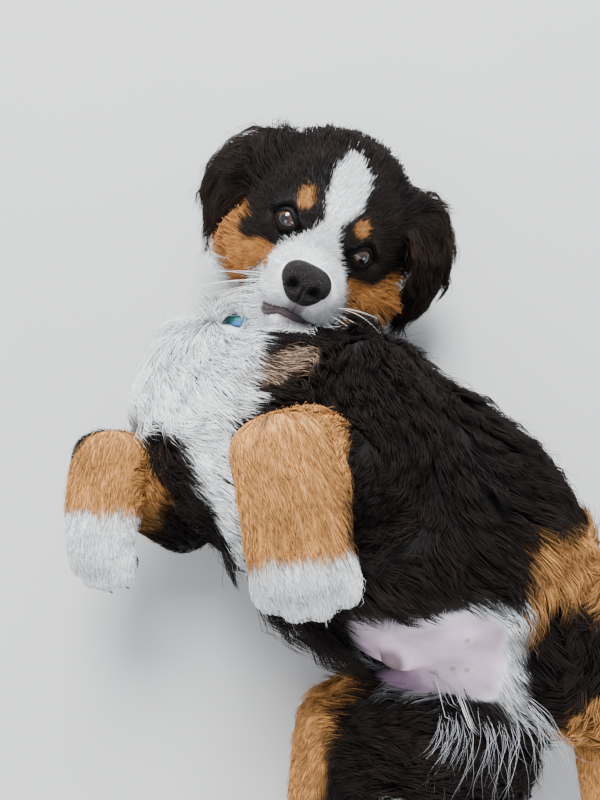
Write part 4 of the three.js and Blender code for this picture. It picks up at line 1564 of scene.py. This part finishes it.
def outwards(mesh):
    """Makes all faces of a closed mesh point out of it."""
    cage = bmesh.new()
    cage.from_mesh(mesh)
    bmesh.ops.recalc_face_normals(cage, faces=cage.faces)
    cage.to_mesh(mesh)
    cage.free()


def make_lids():
    """Dark rims that lie on the eyes along the edge of the lids."""
    finish = plain_finish("lid rim", (0.006, 0.005, 0.005), 0.75, 2500, 0.0002, Specular_IOR_Level=0.12)
    for side, name in ((1, "right"), (-1, "left")):
        centre, axes = eye_frame(side)
        angle = np.linspace(0, 2 * np.pi, 72, endpoint=False)
        far = np.full(72, 6.0)
        for _ in range(30):
            far = far / lid_measure(far * np.cos(angle), far * np.sin(angle)) ** 0.7
        a, b = far * np.cos(angle), far * np.sin(angle)
        d = np.sqrt(np.maximum(EYE_RADIUS**2 - a * a - b * b, 0)) + 0.95
        line = np.stack([a * 1.04, b * 1.04, d], 1) @ axes + centre
        p, faces = tube(line, np.full((72, 2), [0.6, 0.8]), 10, True, axes[2])
        mesh = new_mesh(f"lids_{name}", from_head(p), faces, finish)
        outwards(mesh)
        settle(show(mesh, f"lids_{name}"), "nose_leather")


def make_nose():
    """The leather of the nose, with comma-shaped nostrils that hold painted shade, and a groove down its
    middle.
    """
    p, faces = blob(np.zeros(3), np.ones(3), np.eye(3), 120, 84)
    u = unit(p)
    power = 3.0
    p = u / (np.sum(np.abs(u) ** power, axis=1) ** (1 / power))[:, None]
    x, y, z = p.T
    narrow = 1 - 0.36 * smooth(0.2, -1.0, z) - 0.06 * smooth(0.4, 1.0, z)
    local = np.stack([x * narrow * NOSE_HALF[0], y * NOSE_HALF[1], z * NOSE_HALF[2]], 1)
    x, y, z = local.T
    front = smooth(-2, 4, y)
    for side in (1, -1):
        q = side * x
        hole = np.exp(-(((q - 7.0) / 3.1) ** 2 + ((z + 0.5 - 0.25 * (q - 7)) / 3.0) ** 2))
        slit = np.exp(-(((z + 3.6 + 0.30 * (q - 12)) / 1.25) ** 2))
        slit = slit * smooth(6.5, 9, q) * smooth(17.5, 14.5, q)
        wing = np.exp(-(((q - 11.0) / 3.4) ** 2 + ((z - 2.2) / 3.4) ** 2))
        local[:, 1] += front * (-6.0 * hole - 2.2 * slit * (y > 0) + 1.3 * wing)
    local[:, 1] -= front * 1.5 * np.exp(-((x / 0.9) ** 2)) * smooth(2.5, -2, z)
    local[:, 1] -= front * 0.7 * np.exp(-((x / 3.5) ** 2)) * smooth(-2, 6, z)
    p = from_head(local * [1.03, 1.0, 1.05] + NOSE_AT + [1.6, 0, -0.6])
    mesh = new_mesh("nose_pad", p, faces, nose_finish())
    # Painted shade in the nostril holes: a share that darkens them, stored in the "bare" attribute.
    nostril_shade = np.zeros(len(p))
    for side in (1, -1):
        hole = np.exp(-(((side * x - 7.0) / 2.6) ** 2 + ((z + 0.5) / 2.4) ** 2))
        nostril_shade = np.maximum(nostril_shade, hole * front)
    paint(mesh, "bare", np.clip(nostril_shade * 1.3, 0, 1))
    outwards(mesh)
    settle(show(mesh, "nose_pad"), "nose_leather", "nose")


def skin_tree(skin):
    """A tree that finds places on the skin."""
    points = [v.co.copy() for v in skin.data.vertices]
    return BVHTree.FromPolygons(points, [list(f.vertices) for f in skin.data.polygons])


def make_lips(skin):
    """Mauve flews along the muzzle's lower edge and the edge of the lower lip."""
    tree = skin_tree(skin)

    def on_skin(line, raise_by):
        found = [tree.find_nearest(Vector(q) * MM) for q in from_head(line)]
        return np.array([hit[0] for hit in found]) / MM + np.array([hit[1] for hit in found]) * raise_by

    upper = mouth_line(70)
    lower = upper + [0, -1.5, -4.2]
    finish = lip_finish()
    along = np.linspace(-1, 1, 70)
    size = np.sqrt(np.clip(1 - along**6, 0.04, 1))
    for name, line, wide, tall in (("lips_upper", upper, 3.0, 1.5), ("lips_lower", lower, 1.7, 1.0)):
        spine = on_skin(line, 0.5)
        girth = size * (1 - 0.45 * smooth(0.0, 0.35, along)) * (1 - 0.55 * smooth(-0.62, -0.95, along))
        radii = np.stack([girth * tall, girth * wide], 1)
        p, faces = tube(spine, radii, 14, False, HEAD @ np.array([0, 0.35, 1]))
        mesh = new_mesh(name, p, faces, finish)
        outwards(mesh)
        settle(show(mesh, name), "nose_leather")


def whisker_tree(finish):
    """Geometry Nodes that turn lines into tapered hairs."""
    tree = bpy.data.node_groups.new("Tapered hairs", "GeometryNodeTree")
    tree.interface.new_socket("Lines", in_out="INPUT", socket_type="NodeSocketGeometry")
    tree.interface.new_socket("Root thickness", in_out="INPUT", socket_type="NodeSocketFloat")
    tree.interface.new_socket("Sides", in_out="INPUT", socket_type="NodeSocketInt")
    tree.interface.new_socket("Hairs", in_out="OUTPUT", socket_type="NodeSocketGeometry")
    node, link = tree.nodes.new, tree.links.new
    given, result = node("NodeGroupInput"), node("NodeGroupOutput")
    curve = node("GeometryNodeMeshToCurve")
    link(given.outputs[0], curve.inputs[0])
    along = node("GeometryNodeSplineParameter")
    taper = node("ShaderNodeMapRange")
    taper.inputs["To Min"].default_value = 0.5
    taper.inputs["To Max"].default_value = 0.05
    link(along.outputs["Factor"], taper.inputs["Value"])
    size = node("ShaderNodeMath")
    size.operation = "MULTIPLY"
    link(taper.outputs[0], size.inputs[0])
    link(given.outputs["Root thickness"], size.inputs[1])
    rounds = node("GeometryNodeCurvePrimitiveCircle")
    rounds.inputs["Radius"].default_value = 1.0
    link(given.outputs["Sides"], rounds.inputs["Resolution"])
    hair = node("GeometryNodeCurveToMesh")
    hair.inputs["Fill Caps"].default_value = True
    link(curve.outputs[0], hair.inputs["Curve"])
    link(rounds.outputs[0], hair.inputs["Profile Curve"])
    if "Scale" in hair.inputs:
        link(size.outputs[0], hair.inputs["Scale"])
    else:
        radius = node("GeometryNodeSetCurveRadius")
        link(curve.outputs[0], radius.inputs["Curve"])
        link(size.outputs[0], radius.inputs["Radius"])
        link(radius.outputs[0], hair.inputs["Curve"])
    whole = node("GeometryNodeRealizeInstances")
    link(hair.outputs[0], whole.inputs[0])
    cover = node("GeometryNodeSetMaterial")
    cover.inputs["Material"].default_value = finish
    link(whole.outputs[0], cover.inputs[0])
    link(cover.outputs[0], result.inputs[0])
    return tree


def tapered_hairs(name, lines, thickness, finish, slot):
    """One piece of hairs along lines of points."""
    points = np.vstack(lines)
    edges, start = [], 0
    for line in lines:
        edges += [(start + i, start + i + 1) for i in range(len(line) - 1)]
        start += len(line)
    mesh = bpy.data.meshes.new(name)
    mesh.from_pydata([tuple(q) for q in points * MM], edges, [])
    guide = show(mesh, name + "_lines", False)
    modifier = guide.modifiers.new("Hairs", "NODES")
    modifier.node_group = whisker_tree(finish)
    sockets = {item.name: item.identifier for item in modifier.node_group.interface.items_tree}
    modifier[sockets["Root thickness"]] = thickness * MM
    modifier[sockets["Sides"]] = 5
    piece = flattened(guide, name)
    piece.data.shade_smooth()
    settle(piece, slot)


def make_whiskers():
    """Three rows of pale whiskers on each side of the muzzle."""
    random = np.random.default_rng(settings().seed + 1)
    finish = plain_finish("whisker", (0.92, 0.91, 0.88), 0.35, 900, 0.0001, 0.05)
    lines = []
    for side in (1, -1):
        for row in range(3):
            for k in range(3):
                root = np.array([side * (22 + 3.2 * k), 37 - 8 * k, -36 - 4.5 * row - 0.8 * k])
                length = (56 - 4 * row) * (0.75 + 0.4 * random.random())
                lean = 0.85 - 0.4 * row if side < 0 else -0.22 - 0.14 * row
                way = unit(np.array([side, 1.0 if side < 0 else 0.3, lean]) + random.normal(0, 0.07, 3))
                droop = np.array([0, 0.03, -0.20]) * random.uniform(0.3, 1.4) + random.normal(0, 0.04, 3)
                s = np.linspace(0, 1, 12)[:, None]
                lines.append(from_head(root - way * 3 + way * length * s + droop * length * s * s))
    for line in lines:
        rest_on_ground(line, 1)
    tapered_hairs("whiskers", lines, 0.52, finish, "coat_white")


# Strips of fine hair, as two ends, spread, length, count, way and height
WISP_STRIPS = (
    ((3, -138), (12, -150), 7, 48, 36, (-0.80, -0.60, 0), 14),
    ((20, -150), (40, -166), 6, 60, 34, (-0.62, -0.78, 0), 14),
    ((40, -168), (50, -154), 4, 58, 34, (-0.02, -1.0, 0), 12),
    ((-4, -60), (70, -98), 4, 13, 110, (-0.60, -0.77, 0), 4),
)


def make_wisps(skin):
    """Long thin curly hairs at the groin and along the edge of the bare belly."""
    random = np.random.default_rng(settings().seed + 2)
    finish = plain_finish("wisps", (0.52, 0.52, 0.54), 0.5, 900, 0.0001, 0.25)
    tree = skin_tree(skin)
    lines = []
    for start, end, spread, length, count, towards, height in WISP_STRIPS:
        standing = height > 5
        for _ in range(count):
            share = random.random()
            xy = np.array(start) * (1 - share) + np.array(end) * share + random.normal(0, spread * 0.5, 2)
            above = Vector((*(xy + ORIGIN[:2]), 260)) * MM
            hit = tree.ray_cast(above, Vector((0, 0, -1)))
            if hit[0] is None:
                continue
            root, normal = np.array(hit[0]) / MM, np.array(hit[1])
            size = length * random.uniform(0.5, 1.1)
            way = np.array(towards) + random.normal(0, 0.20, 3)
            if standing:
                normal = np.array([0, 0, 1.0])
            way = unit(way - normal * (way @ normal)) - normal * (0.15 if standing else 0)
            side = np.cross(normal, way)
            s = np.linspace(0, 1, 14)[:, None]
            curl, waves = random.uniform(0.03, 0.10), random.uniform(0.5, 1.4)
            rise = height * (smooth(0, 0.3, s) - 0.3 * smooth(0.6, 1, s)) * random.uniform(0.7, 1.2)
            line = root - normal * 0.6 + way * size * s * 0.9 + normal * rise
            line = line + side * curl * size * np.sin(s * waves * 2 * np.pi) * s
            lines.append(line)
    tapered_hairs("wisps", lines, 0.22, finish, "coat_white")


def claw_shapes():
    """A curved, pointed claw at the end of each toe."""
    for name in PAWS:
        for at, axes, size in toe_places(name):
            s = np.linspace(0, 1, 9)[:, None]
            line = at + np.array([0, 10.5, -1.5]) * size @ axes
            line = line + (np.array([[0, 6.5, 0]]) * s + np.array([[0, 0, -5.0]]) * s**2) * size @ axes
            yield tube(line, 1.7 * size * (1 - s[:, 0] ** 1.7 * 0.88), 12, False, axes[2])


def make_claws():
    finish = plain_finish("claw horn", (0.10, 0.075, 0.06), 0.34, 1200, 0.0001, 0.5)
    mesh = new_mesh("claws", *joined(claw_shapes()), finish)
    outwards(mesh)
    settle(show(mesh, "claws"), "nose_leather")


def make_pads():
    finish = plain_finish("pad leather", (0.030, 0.024, 0.024), 0.62, 1100, 0.0006, 0.4)
    p, faces = joined(blob(*pad, 28, 18) for pads in sole_pads().values() for pad in pads)
    rest_on_ground(p, SKIN_CLEARANCE)
    mesh = new_mesh("pads", p, faces, finish)
    outwards(mesh)
    settle(show(mesh, "pads"), "nose_leather")


def collar_ring(grow, across, count):
    """Points round the neck where it meets a tilted plane moved by some way along it."""
    neck = FORMS["neck"]
    middle = np.array([COLLAR_AT])
    at, along, front, side, _, _ = (v[0] for v in neck.frames(middle))
    tilt = math.radians(-COLLAR_TILT)
    way = along * math.cos(tilt) + np.cross(front, along) * math.sin(tilt)
    angle = np.linspace(0, 2 * np.pi, count, endpoint=False)
    x, z = np.cos(angle)[:, None], np.sin(angle)[:, None]
    low_t, high_t = np.zeros(count), np.ones(count)
    for _ in range(26):
        t = (low_t + high_t) / 2
        p = neck.place(t, x, z, 0, grow)
        ahead = (p - at - ORIGIN) @ way > across
        low_t, high_t = np.where(ahead, low_t, t), np.where(ahead, t, high_t)
    return p - ((p - at - ORIGIN) @ way - across)[:, None] * way


def make_collar():
    """A woven strap round the neck, mostly under the coat."""
    count = 160
    widths = np.linspace(-COLLAR_WIDTH / 2, COLLAR_WIDTH / 2, 13)
    rings = [collar_ring(-4.3 - 0.5 * (abs(w) > 8.8), w, count) for w in widths]
    rings += [collar_ring(-6.5, w, count) for w in widths[::-1]]
    p = np.vstack(rings)
    middle = collar_ring(-5.4, 0, count)[np.tile(np.arange(count), len(rings))]
    inward = unit(middle.mean(0) - middle)
    # Under the jaw the strap lies deep. Where it shows, it stands out and has slipped down the neck.
    gap = np.linalg.norm(p - ORIGIN - SCRAP, axis=1)
    under = smooth(14, 22, gap) * smooth(-40, -20, to_head(p)[:, 1])
    lift = 4.5 * smooth(17, 10, gap)
    near = smooth(34, 14, gap)
    sag = 8.5 * near
    down = unit(np.array([-0.60, -0.77, -0.2]))
    p = p + inward * (7 * under - lift - 3 * near)[:, None] + down * sag[:, None]
    faces, total = [], len(rings)
    for r in range(total):
        for s in range(count):
            a, b = r * count + s, r * count + (s + 1) % count
            c = (r + 1) % total * count + (s + 1) % count
            d = (r + 1) % total * count + s
            faces.append([a, b, c, d])
    mesh = new_mesh("collar_strap", p, faces, strap_finish())
    angle = np.tile(np.arange(count) / count, total)
    across = np.repeat(np.concatenate([widths, widths[::-1]]) / COLLAR_WIDTH, count)
    blue, green = np.array([0.01, 0.22, 0.52]), np.array([0.03, 0.30, 0.22])
    dark = np.array([0.012, 0.016, 0.02])
    motif = (np.abs(np.sin(angle * np.pi * 24) * 0.30) > np.abs(across))[:, None]
    edge = (np.abs(across) > 0.40)[:, None]
    tone = np.where(edge, dark, np.where(motif, green, blue))
    paint(mesh, "tone", tone * np.ones((len(p), 1)))
    layer = mesh.uv_layers.new(name="OFBake")
    index = np.empty(len(mesh.loops), np.int32)
    mesh.loops.foreach_get("vertex_index", index)
    ring, spoke = index // count, index % count
    starts = np.repeat(np.arange(len(mesh.polygons)), 4)
    last = (spoke == 0) & (starts % count == count - 1)
    row = np.where((ring == 0) & (starts // count == total - 1), total, ring)
    uv = np.stack([(spoke + last * count) / count, row / total], 1)
    layer.data.foreach_set("uv", uv.astype(np.float32).ravel())
    outwards(mesh)
    settle(show(mesh, "collar_strap"), "collar_strap", "collar")


# Stage
FLOOR_HALF = 6000
AIM = (0, 0, 0.1)
CAMERA_HEIGHT = 550
CAMERA_LENS = 29.25
CAMERA_RIGHT = (0.788, -0.616, 0.0)
CAMERA_AHEAD = (0.128, 0.164, -0.978)


def area_light(name, place, energy, size, colour=(1, 1, 1)):
    light = bpy.data.lights.new(name, "AREA")
    light.energy, light.size, light.color = energy, size, colour
    lamp = bpy.data.objects.new(name, light)
    lamp.location = place
    lamp.rotation_euler = (Vector(AIM) - Vector(place)).to_track_quat("-Z", "Y").to_euler()
    bpy.context.scene.collection.objects.link(lamp)


def make_stage():
    """A plain pale floor, daylight from a window and the photo's own camera, over the puppy."""
    made = Finish("floor")
    clouds = made.grain(3, 3)
    finish = made.surface(
        Base_Color=made.mix(clouds, (0.50, 0.492, 0.48), (0.54, 0.532, 0.52)),
        Roughness=0.85 + 0.05 * clouds,
    )
    corners = [[x * FLOOR_HALF, y * FLOOR_HALF, 0] for x, y in ((-1, -1), (1, -1), (1, 1), (-1, 1))]
    floor = show(new_mesh("floor", corners, [[0, 1, 2, 3]], finish), "floor", False)

    world = bpy.data.worlds.new("studio")
    world.use_nodes = True
    world.node_tree.nodes["Background"].inputs[0].default_value = (0.80, 0.88, 1.0, 1)
    world.node_tree.nodes["Background"].inputs[1].default_value = 0.95
    bpy.context.scene.world = world
    area_light("sky window", (0.9, 1.4, 2.0), 186, 1.2, (0.94, 0.97, 1.0))
    area_light("fill", (-1.6, -0.6, 1.6), 28, 1.6)
    area_light("low light", (0.3, -1.9, 0.9), 14, 1.0, (1.0, 0.97, 0.93))

    camera = bpy.data.cameras.new("camera")
    camera.sensor_width, camera.lens, camera.clip_start = 36, CAMERA_LENS, 0.02
    eye = bpy.data.objects.new("camera", camera)
    right, ahead = unit(np.array(CAMERA_RIGHT)), unit(np.array(CAMERA_AHEAD))
    up = np.cross(right, ahead)
    turned = Matrix(np.stack([right, up, -ahead], 1).tolist()).to_4x4()
    turned.translation = Vector((ORIGIN + [0, 0, CAMERA_HEIGHT]) * MM)
    eye.matrix_world = turned
    bpy.context.scene.collection.objects.link(eye)
    bpy.context.scene.camera = eye


FLESH = (
    "jaw", "head", "ear_right", "ear_left", "torso", "neck", "forepaw_left", "forepaw_right",
    "foreleg_lower_left", "foreleg_lower_right", "foreleg_upper_left", "foreleg_upper_right",
    "hindpaw_left", "hindpaw_right", "thigh_left", "thigh_right", "shank_left", "shank_right", "tail",
)


# Operators
class PUPPY_OT_skin(bpy.types.Operator):
    """Make the skin as one surface over all the forms of flesh"""

    bl_idname = "puppy.skin"
    bl_label = "Skin"

    def execute(self, context):
        settle(make_skin(), "coat_black", *FLESH)
        return {"FINISHED"}


class PUPPY_OT_coat(bpy.types.Operator):
    """Grow the coat's tufts from the skin, region by region"""

    bl_idname = "puppy.coat"
    bl_label = "Coat"

    def execute(self, context):
        make_coat(bpy.data.objects["skin"])
        make_wisps(bpy.data.objects["skin"])
        return {"FINISHED"}


class PUPPY_OT_eyes(bpy.types.Operator):
    """Make the eyes and the rims of their lids"""

    bl_idname = "puppy.eyes"
    bl_label = "Eyes and lids"

    def execute(self, context):
        make_eyes()
        make_lids()
        return {"FINISHED"}


class PUPPY_OT_muzzle(bpy.types.Operator):
    """Make the nose, lips and whiskers"""

    bl_idname = "puppy.muzzle"
    bl_label = "Nose, lips and whiskers"

    def execute(self, context):
        make_nose()
        make_lips(bpy.data.objects["skin"])
        make_whiskers()
        return {"FINISHED"}


class PUPPY_OT_feet(bpy.types.Operator):
    """Make the claws and the pads of the soles"""

    bl_idname = "puppy.feet"
    bl_label = "Claws and pads"

    def execute(self, context):
        make_claws()
        make_pads()
        return {"FINISHED"}


class PUPPY_OT_collar(bpy.types.Operator):
    """Make the woven collar"""

    bl_idname = "puppy.collar"
    bl_label = "Collar"

    def execute(self, context):
        make_collar()
        return {"FINISHED"}


class PUPPY_OT_stage(bpy.types.Operator):
    """Make the floor, the lights and the camera"""

    bl_idname = "puppy.stage"
    bl_label = "Stage"

    def execute(self, context):
        make_stage()
        return {"FINISHED"}


OPERATORS = (
    PUPPY_OT_skin,
    PUPPY_OT_coat,
    PUPPY_OT_eyes,
    PUPPY_OT_muzzle,
    PUPPY_OT_feet,
    PUPPY_OT_collar,
    PUPPY_OT_stage,
)


class PUPPY_PT_panel(bpy.types.Panel):
    """Lists the puppy's sizes, colours and pieces"""

    bl_idname = "PUPPY_PT_panel"
    bl_label = "Puppy"
    bl_space_type = "VIEW_3D"
    bl_region_type = "UI"
    bl_category = "Puppy"

    def draw(self, context):
        for name in PuppySettings.__annotations__:
            self.layout.prop(context.scene.puppy, name)
        for operator in OPERATORS:
            self.layout.operator(operator.bl_idname)


CLASSES = (PuppySettings, *OPERATORS, PUPPY_PT_panel)


def register():
    for each in CLASSES:
        bpy.utils.register_class(each)
    bpy.types.Scene.puppy = PointerProperty(type=PuppySettings)


def unregister():
    del bpy.types.Scene.puppy
    for each in reversed(CLASSES):
        bpy.utils.unregister_class(each)


def main():
    register()
    bpy.ops.puppy.skin()
    bpy.ops.puppy.coat()
    bpy.ops.puppy.eyes()
    bpy.ops.puppy.muzzle()
    bpy.ops.puppy.feet()
    bpy.ops.puppy.collar()
    bpy.ops.puppy.stage()
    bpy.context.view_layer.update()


if __name__ == "__main__":
    main()
